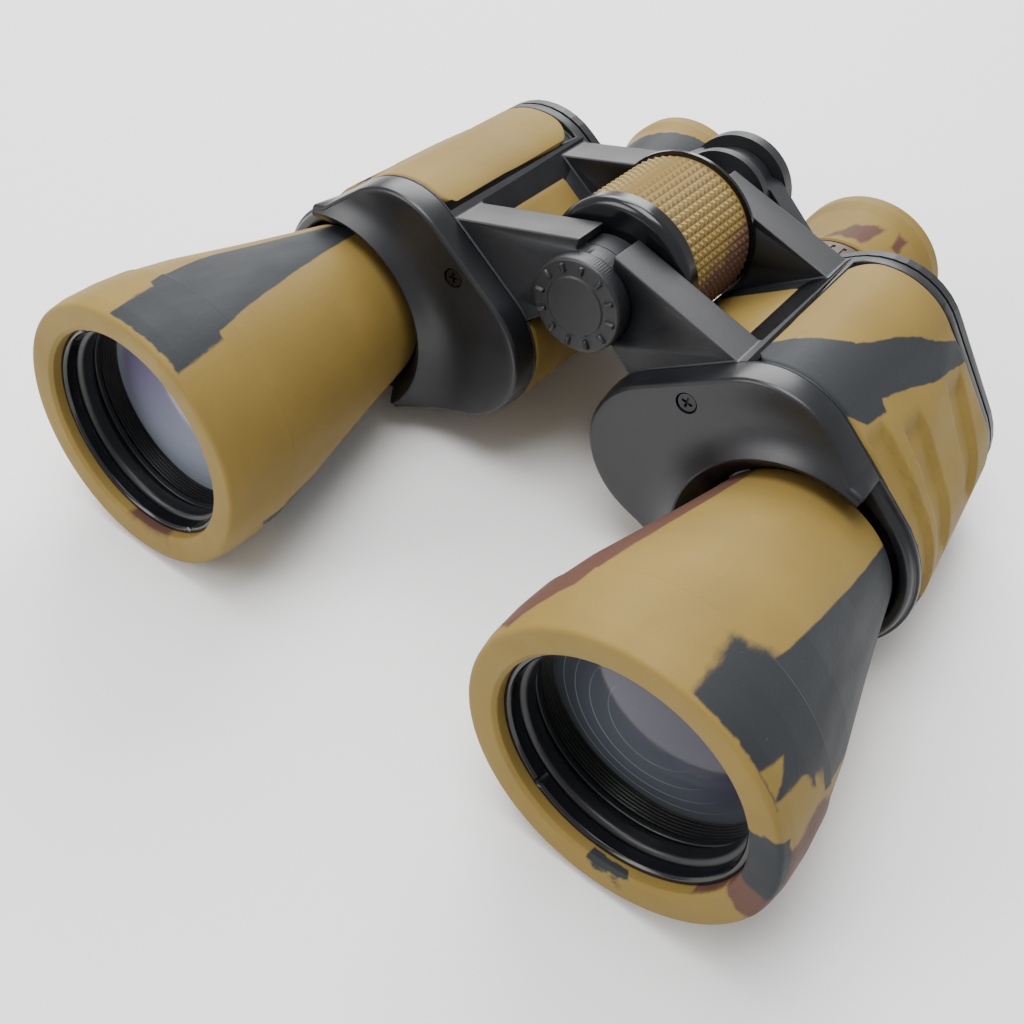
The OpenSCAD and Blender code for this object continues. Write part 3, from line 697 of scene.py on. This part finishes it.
def barrel_profile(sizes):
    """Rubber of a barrel: soft lip, straight hood with its mould line, and waisted cone"""
    wall_y = LIP_Y + 5.1
    opening = CELL_R + 0.1
    soft = sizes.lip_round / MM
    neck = sizes.neck_radius / MM
    return rounded([
        (opening, wall_y, 0),
        (opening, LIP_Y + 1.1, 0.5),
        (opening + 0.9, LIP_Y + 0.35, 0.8),
        (HOOD_R - 3.2, LIP_Y + 0.1, 1.5),
        (HOOD_R - 0.75, LIP_Y, soft),
        (HOOD_R - 0.1, LIP_Y + 4.0, 5.0),
        (HOOD_R, LIP_Y + 11, 12.0),
        (HOOD_R - 0.45, LIP_Y + 18.0, 0.3),
        (HOOD_R - 0.75, LIP_Y + 18.4, 0.3),
        (HOOD_R - 2.4, LIP_Y + 29, 14.0),
        (HOOD_R - 6.6, LIP_Y + 48, 30.0),
        (HOOD_R - 9.9, LIP_Y + 64, 20.0),
        (neck, NECK_Y, 0),
        (neck - 1.7, NECK_Y, 0),
        (HOOD_R - 2.6, LIP_Y + 19, 0),
        (HOOD_R - 4.0, LIP_Y + 17, 0),
        (HOOD_R - 4.0, wall_y, 0),
    ], 6)


class MakeBarrels(bpy.types.Operator):
    """Rubber armour of the two barrels"""

    bl_idname = "binoculars.barrels"
    bl_label = "Barrel rubber"

    def execute(self, context):
        profile = barrel_profile(context.scene.binocular_sizes)
        for name, side in SIDES.items():
            verts, faces = ring_mesh(profile, OBJECTIVE_AXIS, 180)
            material = camo_finish(
                f"barrel camouflage {name}", OBJECTIVE_AXIS, side, LIP_Y, BARREL_PATCHES[name], side,
                LIP_PATCHES[name],
            )
            make_piece(
                f"{name}_barrel_rubber", verts, faces, material,
                f"{name}_barrel_armor", side, 28,
            )
        return {"FINISHED"}


# -------- lens cells


def cell_profile(sizes):
    """Inside of a lens cell: a large and a small round bead, then fine steps down to the lens"""
    front = RING_Y + 3.0
    back = high("right_lens_cell").y
    corners = [
        (CELL_R, back, 0),
        (CELL_R, front, 0),
        (CELL_R - 0.8, front, 0.2),
        (CELL_R - 2.5, front + 0.6, 1.4),
        (CELL_R - 2.6, front + 3.7, 1.4),
        (CELL_R - 1.2, front + 4.4, 0.3),
        (CELL_R - 1.1, front + 4.7, 0.1),
        (CELL_R - 1.9, front + 5.0, 0.5),
        (CELL_R - 1.8, front + 6.3, 0.5),
        (CELL_R - 1.1, front + 6.5, 0.1),
    ]
    steps_y = front + 6.7
    depth = (LENS_EDGE_Y - steps_y) / sizes.cell_steps
    for k in range(sizes.cell_steps):
        r = mix(CELL_R - 1.3, LENS_R + 0.1, k / (sizes.cell_steps - 1))
        y = steps_y + k * depth
        corners += [
            (r + 0.35, y, 0), (r - 0.05, y + depth * 0.2, 0.05),
            (r - 0.1, y + depth * 0.45, 0.05), (r + 0.35, y + depth * 0.6, 0),
        ]
    corners += [(LENS_R + 0.05, LENS_EDGE_Y, 0), (LENS_R + 0.05, back, 0)]
    return rounded(corners, 4)


def notch(angle, at, half):
    """1 inside a notch of that half width round an angle, in degrees"""
    off = (math.degrees(angle) - at + 180) % 360 - 180
    return 1.0 if abs(off) < half else 0.0


class MakeLensCells(bpy.types.Operator):
    """Retaining rings and lens cells inside the objective openings"""

    bl_idname = "binoculars.lens_cells"
    bl_label = "Lens cells"

    def execute(self, context):
        sizes = context.scene.binocular_sizes
        made = finishes_of(context)
        front = RING_Y
        back = RING_Y + 2.8
        ring = rounded([
            (CELL_R, back, 0),
            (CELL_R, front, 0.2),
            (CELL_R - 0.9, front, 0.3),
            (CELL_R - 1.3, front + 0.6, 0.3),
            (CELL_R - 1.5, back, 0),
        ], 3)

        slot_angles = (-127, 53)
        slot_half = 1.8
        slot_depth = 0.75

        def slots(angle, radius, y):
            inner = radius < CELL_R - 0.6 and y < back - 0.4
            open_slot = sum(notch(angle, at, slot_half) for at in slot_angles)
            return slot_depth * open_slot if inner else 0.0

        for name, side in SIDES.items():
            verts, faces = ring_mesh(cell_profile(sizes), OBJECTIVE_AXIS, 160)
            make_piece(
                f"{name}_stepped_cell", verts, faces, made["inner_black"],
                f"{name}_lens_cell", side, 25,
            )
            verts, faces = ring_mesh(ring, OBJECTIVE_AXIS, 240, slots)
            make_piece(
                f"{name}_notched_ring", verts, faces, made["gloss_black"],
                f"{name}_retaining_ring", side, 25,
            )
            crown = 2.6
            lens = [(LENS_R * k / 12, LENS_EDGE_Y - crown * (1 - (k / 12) ** 2)) for k in range(13)]
            lens += [(LENS_R, LENS_EDGE_Y + 1.5), (0, LENS_EDGE_Y + 1.5)]
            verts, faces = ring_mesh(lens, OBJECTIVE_AXIS, 120)
            glass = objective_glass(f"objective glass {name}", side)
            make_piece(
                f"{name}_coated_lens", verts, faces, glass, f"{name}_objective_crown", side,
            )
        return {"FINISHED"}


# -------- front covers

# The saddle's ends, in degrees round the objective axis in the prism frame
SADDLE_START = -36
SADDLE_END = -188
# Points of a profile along one ray
RAY_POINTS = 31


def edge_distance(angle, y):
    """From the objective axis to the case outline along an angle of the prism frame"""
    best = 1e9
    for k in range(0, 360, 2):
        n = (math.cos(math.radians(k)), math.sin(math.radians(k)))
        facing = n[0] * math.cos(angle) + n[1] * math.sin(angle)
        if facing < 0.05:
            continue
        circles = ((0, 0, CASE_R), (STEP, 0, CASE_R), (STEP, STEP, outer_r(y)))
        reach = max(n[0] * a + n[1] * d + r for a, d, r in circles)
        best = min(best, (reach - (n[0] + n[1]) * STEP) / facing)
    return best


def saddle_ray(sizes, edge):
    """Profile of (radius, y) of the raised cover along one ray from the objective axis"""
    neck = sizes.neck_radius / MM + 0.5
    plate_y = CASE_Y - 6.5
    crest = min(sizes.collar_radius / MM, edge - 0.9)
    rim = edge - 1.7
    points = [
        (neck, CASE_Y),
        (neck, CASE_Y - 4.6),
        (mix(neck, crest, 0.7), CREST_Y + 1.1),
        (crest - 0.75, CREST_Y + 0.35),
        (crest - 0.35, CREST_Y + 0.05),
        (crest + 0.1, CREST_Y),
        (crest + 0.5, CREST_Y + 0.25),
    ]
    foot = crest + 0.5
    end = max(foot + 0.2, rim)
    fillet = 10.5
    for k in range(1, 15):
        r = mix(foot, end, k / 14)
        rise = (1 - min(1.0, (r - foot) / fillet)) ** 2.3
        points.append((r, mix(plate_y, CREST_Y + 0.25, rise)))
    last_y = points[-1][1]
    for k in range(1, 7):
        turn = k / 6 * math.pi / 2.4
        points.append((end + 1.1 * math.sin(turn), last_y + 1.3 * (1 - math.cos(turn))))
    r, y = points[-1]
    return points + [
        (mix(r, edge, 0.5), mix(y, CASE_Y - 1.2, 0.55)),
        (edge - 0.05, CASE_Y - 1.0),
        (edge - 0.05, CASE_Y - 0.35),
        (edge - 0.4, CASE_Y),
    ]


def strip_ray(sizes, edge):
    """Profile of the low glossy strip where the cover only hugs the barrel"""
    neck = sizes.neck_radius / MM + 0.5
    return rounded_open([
        (neck, CASE_Y, 0), (neck, CASE_Y - 2.6, 0.8), (edge - 1.3, CASE_Y - 2.9, 1.2),
        (edge - 0.8, CASE_Y - 0.9, 0.2), (edge - 0.05, CASE_Y - 0.8, 0.3), (edge - 0.05, CASE_Y, 0),
    ], RAY_POINTS)


def rounded_open(corners, count):
    """An open outline through rounded corners, resampled to an exact count of points"""
    closed = rounded(corners, 6)
    lengths = [0.0]
    for a, b in zip(closed, closed[1:]):
        lengths.append(lengths[-1] + math.dist(a, b))
    result = []
    k = 0
    for i in range(count):
        want = lengths[-1] * i / (count - 1)
        while k < len(lengths) - 2 and lengths[k + 1] < want:
            k += 1
        span = max(lengths[k + 1] - lengths[k], 1e-9)
        t = (want - lengths[k]) / span
        result.append(tuple(mix(p, q, t) for p, q in zip(closed[k], closed[k + 1])))
    return result


def cover_mesh(sizes):
    """The front cover as rays round the objective axis"""
    saddle_count = 200
    strip_count = 90
    gap = 0.4
    rays = [
        (saddle_ray, mix(SADDLE_START, SADDLE_END, k / (saddle_count - 1)))
        for k in range(saddle_count)
    ]
    rays += [
        (strip_ray, mix(SADDLE_END - gap, SADDLE_START - 360 + gap, k / (strip_count - 1)))
        for k in range(strip_count)
    ]
    verts = []
    for ray, degrees in rays:
        angle = math.radians(degrees)
        for r, y in ray(sizes, edge_distance(angle, CASE_Y)):
            x, z = from_prism(STEP + r * math.cos(angle), STEP + r * math.sin(angle))
            verts.append((x, y, z))
    return verts, closed_faces(len(rays), RAY_POINTS)


def carve(piece, cutter):
    """Cuts one closed mesh out of another and removes the cutter"""
    cut = piece.modifiers.new("cut", "BOOLEAN")
    cut.operation = "DIFFERENCE"
    cut.solver = "MANIFOLD"
    cut.object = cutter
    graph = bpy.context.evaluated_depsgraph_get()
    carved = bpy.data.meshes.new_from_object(piece.evaluated_get(graph))
    piece.modifiers.clear()
    piece.data = carved
    carved.shade_smooth()
    carved.set_sharp_from_angle(angle=math.radians(30))
    bpy.data.objects.remove(cutter)


class MakeFrontCovers(bpy.types.Operator):
    """Front covers with the raised saddle round the barrel neck"""

    bl_idname = "binoculars.front_covers"
    bl_label = "Front covers"

    def execute(self, context):
        made = finishes_of(context)
        screw = middle("right_front_screw")
        for name, side in SIDES.items():
            verts, faces = cover_mesh(context.scene.binocular_sizes)
            cover = make_piece(
                f"{name}_saddle_cover", verts, faces, made["cover_plastic"],
                f"{name}_front_cover", side,
            )
            hole_r = 2.5
            hole_y = CASE_Y - 4.9
            recess = [(0, CREST_Y), (hole_r, CREST_Y), (hole_r, hole_y), (0, hole_y)]
            verts, faces = ring_mesh(recess, (screw.x, screw.z), 40)
            cutter = make_piece("recess", verts, faces, made["cover_plastic"], None, side, 32)
            carve(cover, cutter)
        return {"FINISHED"}


# -------- rubber on the housings


# Finger grooves: y at the upper end, lean towards the front, run from and to, half width
GROOVES = [
    (-7.5, 0.10, 53, 150, 4.2),
    (5.5, 0.17, 57, 92, 4.6),
    (29.5, 0.30, 58, 92, 5.2),
]
# How far the skin between the grooves stands proud
RIDGE = 0.55


def groove(run, y, sizes):
    """Depth of the finger grooves at a place on the right case, in mm"""
    depth = 0.0
    for y0, lean, start, end, half in GROOVES:
        centre = y0 - lean * (run - start)
        off = (y - centre) / half
        ends = smooth((run - start) / 5.0) * smooth((end - run) / 6.0)
        wall = 1 - smooth((abs(off) - 0.78) / 0.22)
        depth = max(depth, wall * ends)
    raised = smooth((run - 50) / 8) * smooth((112 - run) / 12)
    return depth * sizes.groove_depth / MM - RIDGE * raised


def armour_mesh(sizes):
    """Rubber panel round the case: grooved skin, soft edges and rounded corners"""
    y0 = low("right_body_armor").y
    y1 = high("right_body_armor").y
    rows = 104
    thick = 1.45
    paths = [case_path(mix(y0, y1, j / rows)) for j in range(rows + 1)]
    count = len(paths[0])
    run = [0.0]
    for a, b in zip(paths[0], paths[0][1:]):
        run.append(run[-1] + math.dist(a[:2], b[:2]))
    start = STEP + 1.2
    # the panel reaches further round the case between the two arms
    tongue = 5.9
    inner_end = run[-1] - tongue
    arm_front, arm_rear = 14, 12
    groove_shift = 0.8
    columns = [i for i in range(count) if start - 1.0 < run[i]]
    verts = []
    faces = []
    runs = []
    # rounding of the panel's edge, and how deep what lies outside its corners is sunk
    edge = 0.9
    outside = 0.6
    sunk = 1.2
    for level in (0.0, thick):
        for i in columns:
            along = run[i]
            front_corner = corner_cut(along - start, 5.0)
            rear_corner = corner_cut(along - start, 7.0)
            for j in range(rows + 1):
                t = j / rows
                y = mix(y0 + front_corner, y1 - rear_corner, t)
                row = min(rows, max(0, round((y - y0) / (y1 - y0) * rows)))
                a, d, na, nd, p = paths[row][i]
                # the moulded face is flat on both sides of its diagonal, so it stands out a little
                bulge = (OUTER_FRONT_R - OUTER_REAR_R) * (p * t - max(0.0, p + t - 1.0))
                between = smooth((y - y0 - arm_front) / 3) * smooth((y1 - arm_rear - y) / 3)
                reach = inner_end + tongue * between
                near = min(along - start, reach - along, y - y0 - front_corner + 0.05,
                           y1 - rear_corner - y + 0.05)
                drop = edge - math.sqrt(max(0.0, edge**2 - max(0.0, edge - max(near, 0)) ** 2))
                sink = level if level else drop + groove(along, y + groove_shift, sizes)
                if near <= -outside:
                    sink = level + sunk
                sink -= bulge
                x, z = from_prism(a - na * sink, d - nd * sink)
                verts.append((x, y, z))
                runs.append(along)
    wide = rows + 1
    length = len(columns)
    layer = wide * length
    for i in range(length - 1):
        for j in range(rows):
            a = i * wide + j
            faces.append((a, a + 1, a + wide + 1, a + wide))
            faces.append((layer + a, layer + a + wide, layer + a + wide + 1, layer + a + 1))
    for j in range(rows):
        for a in (j, (length - 1) * wide + j):
            faces.append((a, a + 1, layer + a + 1, layer + a))
    for i in range(length - 1):
        for a in (i * wide, i * wide + rows):
            faces.append((a, a + wide, layer + a + wide, layer + a))
    return verts, faces, runs


def pad_mesh():
    """Rubber on the inner face of the case between the arms"""
    front, rear = -0.4, 24.2
    proud = 0.15
    inner_run, outer_run = -6.0, STEP * 0.74
    loops = []
    for y, sink in ((front, 0.5), (front, 0.0), (front + 0.3, -proud), (rear - 0.3, -proud),
                    (rear, 0.0), (rear, 0.5)):
        line = []
        for k in range(25):
            run = mix(inner_run, outer_run, k / 24)
            radius = CASE_R - sink - proud * smooth((run - outer_run + 0.5) / 0.5)
            angle = -math.pi / 2 + min(0.0, run) / CASE_R
            x, z = from_prism(max(0.0, run) + radius * math.cos(angle), radius * math.sin(angle))
            line.append((x, y, z))
        loops.append(line)
    return loft_open(loops)


def loft_open(loops):
    """A closed band through loops of points that are open lines, joined first to last"""
    count = len(loops[0])
    verts = [point for loop in loops for point in loop]
    faces = []
    for i in range(len(loops)):
        j = (i + 1) % len(loops)
        for k in range(count - 1):
            faces.append((i * count + k, i * count + k + 1, j * count + k + 1, j * count + k))
    faces.append(tuple(i * count for i in range(len(loops))))
    faces.append(tuple(i * count + count - 1 for i in range(len(loops))))
    return verts, faces


def corner_cut(distance, radius):
    """How far a rounded corner holds an edge back, at a distance from the corner's side"""
    if distance >= radius:
        return 0.0
    return radius - math.sqrt(max(0.0, radius**2 - (radius - max(distance, 0.0)) ** 2))


class MakeArmour(bpy.types.Operator):
    """Rubber panels round the prism housings"""

    bl_idname = "binoculars.armour"
    bl_label = "Housing rubber"

    def execute(self, context):
        for name, side in SIDES.items():
            verts, faces, runs = armour_mesh(context.scene.binocular_sizes)
            pad = pad_mesh()
            # the pad lies beyond every patch
            runs += [200.0] * len(pad[0])
            verts, faces = join((verts, faces), pad)
            material = camouflage(
                f"housing camouflage {name}",
                lambda paint: wrapped_place(paint, low("right_body_armor").y),
                ARMOUR_PATCHES[name], 1.0, 1.0,
            )
            make_piece(
                f"{name}_housing_rubber", verts, faces, material,
                f"{name}_body_armor", side, 40, runs,
            )
        return {"FINISHED"}


# -------- focus wheel and socket cap


class MakeWheelGrip(bpy.types.Operator):
    """Knurled rubber grip of the focus wheel"""

    bl_idname = "binoculars.wheel_grip"
    bl_label = "Wheel grip"

    def execute(self, context):
        sizes = context.scene.binocular_sizes
        made = finishes_of(context)
        y0 = low("wheel_grip").y
        y1 = high("wheel_grip").y
        top = WHEEL_TOP - HINGE_Z
        valley = top - 0.75
        under = top - 1.8
        around = sizes.pyramids_round
        rows = sizes.pyramids_along
        verts = []
        faces = []
        margin = 0.7
        for i in range(around * 2):
            angle = math.pi * i / around
            line = [(under, y0), (valley, y0)]
            for j in range(rows * 2 + 1):
                y = mix(y0 + margin, y1 - margin, j / (rows * 2))
                peak = i % 2 == 1 and j % 2 == 1
                line.append((top if peak else valley, y))
            line += [(valley, y1), (under, y1)]
            for r, y in line:
                verts.append((r * math.sin(angle), y, HINGE_Z + r * math.cos(angle)))
        size = len(line)
        for index, quad in enumerate(closed_faces(around * 2, size)):
            shift = sum(divmod(index, size)) % 2
            faces.append((quad[shift], quad[shift + 1], quad[(shift + 2) % 4]))
            faces.append((quad[(shift + 2) % 4], quad[(shift + 3) % 4], quad[shift]))
        make_piece("knurled_grip", verts, faces, made["grip_rubber"], "wheel_grip", 1, 20)
        return {"FINISHED"}


def tick_mesh(angle, inner, outer, half, base, top):
    """A raised tick with a rounded back, along a radius of the socket cap"""
    loops = []
    crown = ((0.0, 0.25), (0.06, 0.8), (0.14, 1.0), (0.86, 1.0), (0.94, 0.8), (1.0, 0.25))
    for share, height in crown:
        r = mix(inner, outer, share)
        loop = []
        for k in range(9):
            turn = math.pi * k / 8
            side = half * math.cos(turn) * (0.6 + 0.4 * height)
            y = base - (base - top) * height * math.sin(turn)
            loop.append((
                r * math.cos(angle) - side * math.sin(angle), y,
                HINGE_Z + r * math.sin(angle) + side * math.cos(angle),
            ))
        loops.append(loop)
    return loft(loops)


class MakeSocketCap(bpy.types.Operator):
    """Round cap over the tripod socket, with its raised ticks"""

    bl_idname = "binoculars.socket_cap"
    bl_label = "Socket cap"

    def execute(self, context):
        sizes = context.scene.binocular_sizes
        made = finishes_of(context)
        top = low("socket_cap").y
        back = high("socket_cap").y
        radius = high("socket_cap").x
        face = top + 0.8
        profile = rounded([
            (0, face - 0.35, 0), (radius * 0.60, face - 0.35, 0.25), (radius * 0.64, face, 0.2),
            (radius - 0.1, face, 1.3), (radius, face + 2.0, 0.6),
            (radius, back, 0.2), (radius - 1.6, back, 0), (radius - 1.6, face + 1.2, 0),
            (0, face + 1.2, 0),
        ], 5)

        def ribs(angle, r, y):
            on_side = r > radius - 0.3 and y > face + 1.6
            return -0.03 * (1 + math.sin(angle * 110)) if on_side else 0.0

        cap = ring_mesh(profile, (0, HINGE_Z), 440, ribs)
        turn = 2 * math.pi / sizes.cap_ticks
        ticks = [
            tick_mesh(turn * k, radius * 0.71, radius * 0.91, 0.62, face + 0.1, top)
            for k in range(sizes.cap_ticks)
        ]
        verts, faces = join(cap, *ticks)
        make_piece("ticked_cap", verts, faces, made["case_plastic"], "socket_cap", 1, 30)
        return {"FINISHED"}


# -------- CAD nodes that stay

FINISH_CACHE = {}


def finishes_of(context):
    """The finishes, made once"""
    if not FINISH_CACHE:
        FINISH_CACHE.update(finishes())
    return FINISH_CACHE


class FinishCadNodes(bpy.types.Operator):
    """Materials of the CAD nodes that keep their own shape"""

    bl_idname = "binoculars.cad_finishes"
    bl_label = "CAD finishes"

    def execute(self, context):
        made = finishes_of(context)
        start = low("right_eyecup").y
        cups = {
            name: camo_finish(
                f"eyecup camouflage {name}", EYE_AXIS, side, start, EYECUP_PATCHES[name], 2
            )
            for name, side in SIDES.items()
        }
        for node, obj in frame["nodes"].items():
            slot = SLOT_OF[node]
            if slot in made:
                obj.material_slots[0].material = made[slot]
            elif slot == "eyecup_rubber":
                obj.material_slots[0].material = cups[node.split("_")[0]]
        return {"FINISHED"}


class SoftenCastings(bpy.types.Operator):
    """Copies of the castings with their sharp edges rounded over"""

    bl_idname = "binoculars.castings"
    bl_label = "Soft castings"

    def execute(self, context):
        for node in ("left_housing", "right_housing", "bridge_left", "bridge_right"):
            source = frame["nodes"][node]
            bm = bmesh.new()
            bm.from_mesh(source.data)
            bm.transform(source.matrix_world)
            bmesh.ops.remove_doubles(bm, verts=bm.verts, dist=0.001 * MM)
            bmesh.ops.dissolve_limit(
                bm, angle_limit=math.radians(0.5), verts=bm.verts, edges=bm.edges
            )
            edges = [
                edge for edge in bm.edges
                if len(edge.link_faces) == 2
                and edge.calc_face_angle() > math.radians(50)
                and edge.calc_length() > 1.5 * MM
            ]
            bmesh.ops.bevel(
                bm, geom=edges, offset=0.4 * MM, segments=2, profile=0.6, affect="EDGES",
                clamp_overlap=False,
            )
            mesh = bpy.data.meshes.new(f"soft_{node}")
            bm.to_mesh(mesh)
            bm.free()
            mesh.shade_smooth()
            mesh.set_sharp_from_angle(angle=math.radians(35))
            mesh.materials.append(finishes_of(context)["case_plastic"])
            place_piece(f"soft_{node}", mesh, node)
        return {"FINISHED"}


# -------- stage


def soft_light(name, place, aim, size, power):
    """A square soft box that looks at aim, both in metres"""
    data = bpy.data.lights.new(name, "AREA")
    data.size = size
    data.energy = power
    lamp = bpy.data.objects.new(name, data)
    lamp.location = place
    lamp.rotation_euler = (Vector(aim) - Vector(place)).to_track_quat("-Z", "Y").to_euler()
    bpy.context.scene.collection.objects.link(lamp)


class MakeStage(bpy.types.Operator):
    """Pale floor, soft studio light and the camera"""

    bl_idname = "binoculars.stage"
    bl_label = "Stage"

    def execute(self, context):
        # the floor touches the lips and the eyecups, as a table would
        front = Vector((0, (LIP_Y + 9.0) * MM, 0.0))
        rear = Vector((0, (high("right_eyecup").y - 2.5) * MM, low("right_eyecup").z * MM))
        lean = math.atan2(rear.z - front.z, rear.y - front.y)
        # half the floor's side, in metres
        half = 1.2
        mesh = bpy.data.meshes.new("floor")
        corners = [(-half, -half, 0), (half, -half, 0), (half, half, 0), (-half, half, 0)]
        mesh.from_pydata(corners, [], [(0, 1, 2, 3)])
        paint = Paint("floor paper")
        speck = paint.noise(30, 3.0)
        mesh.materials.append(paint.surface(
            Base_Color=paint.colours(speck, (0.93, 0.93, 0.93, 1), (0.95, 0.95, 0.95, 1)),
            Roughness=speck * 0.1 + 0.6,
        ))
        floor = bpy.data.objects.new("floor", mesh)
        floor.matrix_world = Matrix.Translation(front) @ Matrix.Rotation(lean, 4, "X")
        context.scene.collection.objects.link(floor)

        world = bpy.data.worlds.new("studio")
        world.use_nodes = True
        world.node_tree.nodes["Background"].inputs[0].default_value = (1.0, 1.0, 1.0, 1.0)
        world.node_tree.nodes["Background"].inputs[1].default_value = 0.55
        context.scene.world = world
        aim = (0.0, 0.0, 0.04)
        soft_light("key box", (-0.50, 0.65, 0.75), aim, 0.8, 16.0)
        soft_light("top box", (-0.1, -0.15, 0.95), aim, 0.6, 10.0)
        soft_light("front box", (-0.55, -0.75, 0.5), aim, 0.5, 5.0)

        # the camera looks down at the objectives, a little rolled
        azimuth = math.radians(32.3)
        elevation = math.radians(40.04)
        roll = math.radians(8.08)
        back = Vector((
            math.sin(azimuth) * math.cos(elevation),
            -math.cos(azimuth) * math.cos(elevation),
            math.sin(elevation),
        ))
        flat_right = Vector((math.cos(azimuth), math.sin(azimuth), 0))
        flat_up = back.cross(flat_right)
        right = flat_right * math.cos(roll) + flat_up * math.sin(roll)
        up = flat_up * math.cos(roll) - flat_right * math.sin(roll)
        turn = Matrix((right, up, back)).transposed()
        data = bpy.data.cameras.new("camera")
        data.lens = 42.84
        data.shift_x = 0.0298
        data.shift_y = -0.1057
        camera = bpy.data.objects.new("camera", data)
        place = (0.10037, -0.20888, 0.21349)
        camera.matrix_world = Matrix.Translation(place) @ turn.to_4x4()
        context.scene.collection.objects.link(camera)
        context.scene.camera = camera
        return {"FINISHED"}


# -------- panel and registration

OPERATORS = [
    FinishCadNodes, SoftenCastings, MakeBarrels, MakeLensCells, MakeFrontCovers, MakeArmour,
    MakeWheelGrip, MakeSocketCap, MakeStage,
]


class BinocularPanel(bpy.types.Panel):
    """Lists the pieces and the sizes that a user may change"""

    bl_idname = "VIEW3D_PT_binoculars"
    bl_label = "Porro Binoculars"
    bl_space_type = "VIEW_3D"
    bl_region_type = "UI"
    bl_category = "Binoculars"

    def draw(self, context):
        for group in (context.scene.binocular_sizes, context.scene.binocular_colours):
            for name in group.__annotations__:
                self.layout.prop(group, name)
        for operator in OPERATORS:
            self.layout.operator(operator.bl_idname)


CLASSES = [BinocularSizes, BinocularColours, *OPERATORS, BinocularPanel]


def register():
    for cls in CLASSES:
        bpy.utils.register_class(cls)
    bpy.types.Scene.binocular_sizes = PointerProperty(type=BinocularSizes)
    bpy.types.Scene.binocular_colours = PointerProperty(type=BinocularColours)


def unregister():
    del bpy.types.Scene.binocular_colours
    del bpy.types.Scene.binocular_sizes
    for cls in reversed(CLASSES):
        bpy.utils.unregister_class(cls)


def main():
    register()
    for operator in OPERATORS:
        group, call = operator.bl_idname.split(".")
        getattr(getattr(bpy.ops, group), call)()


if __name__ == "__main__":
    main()
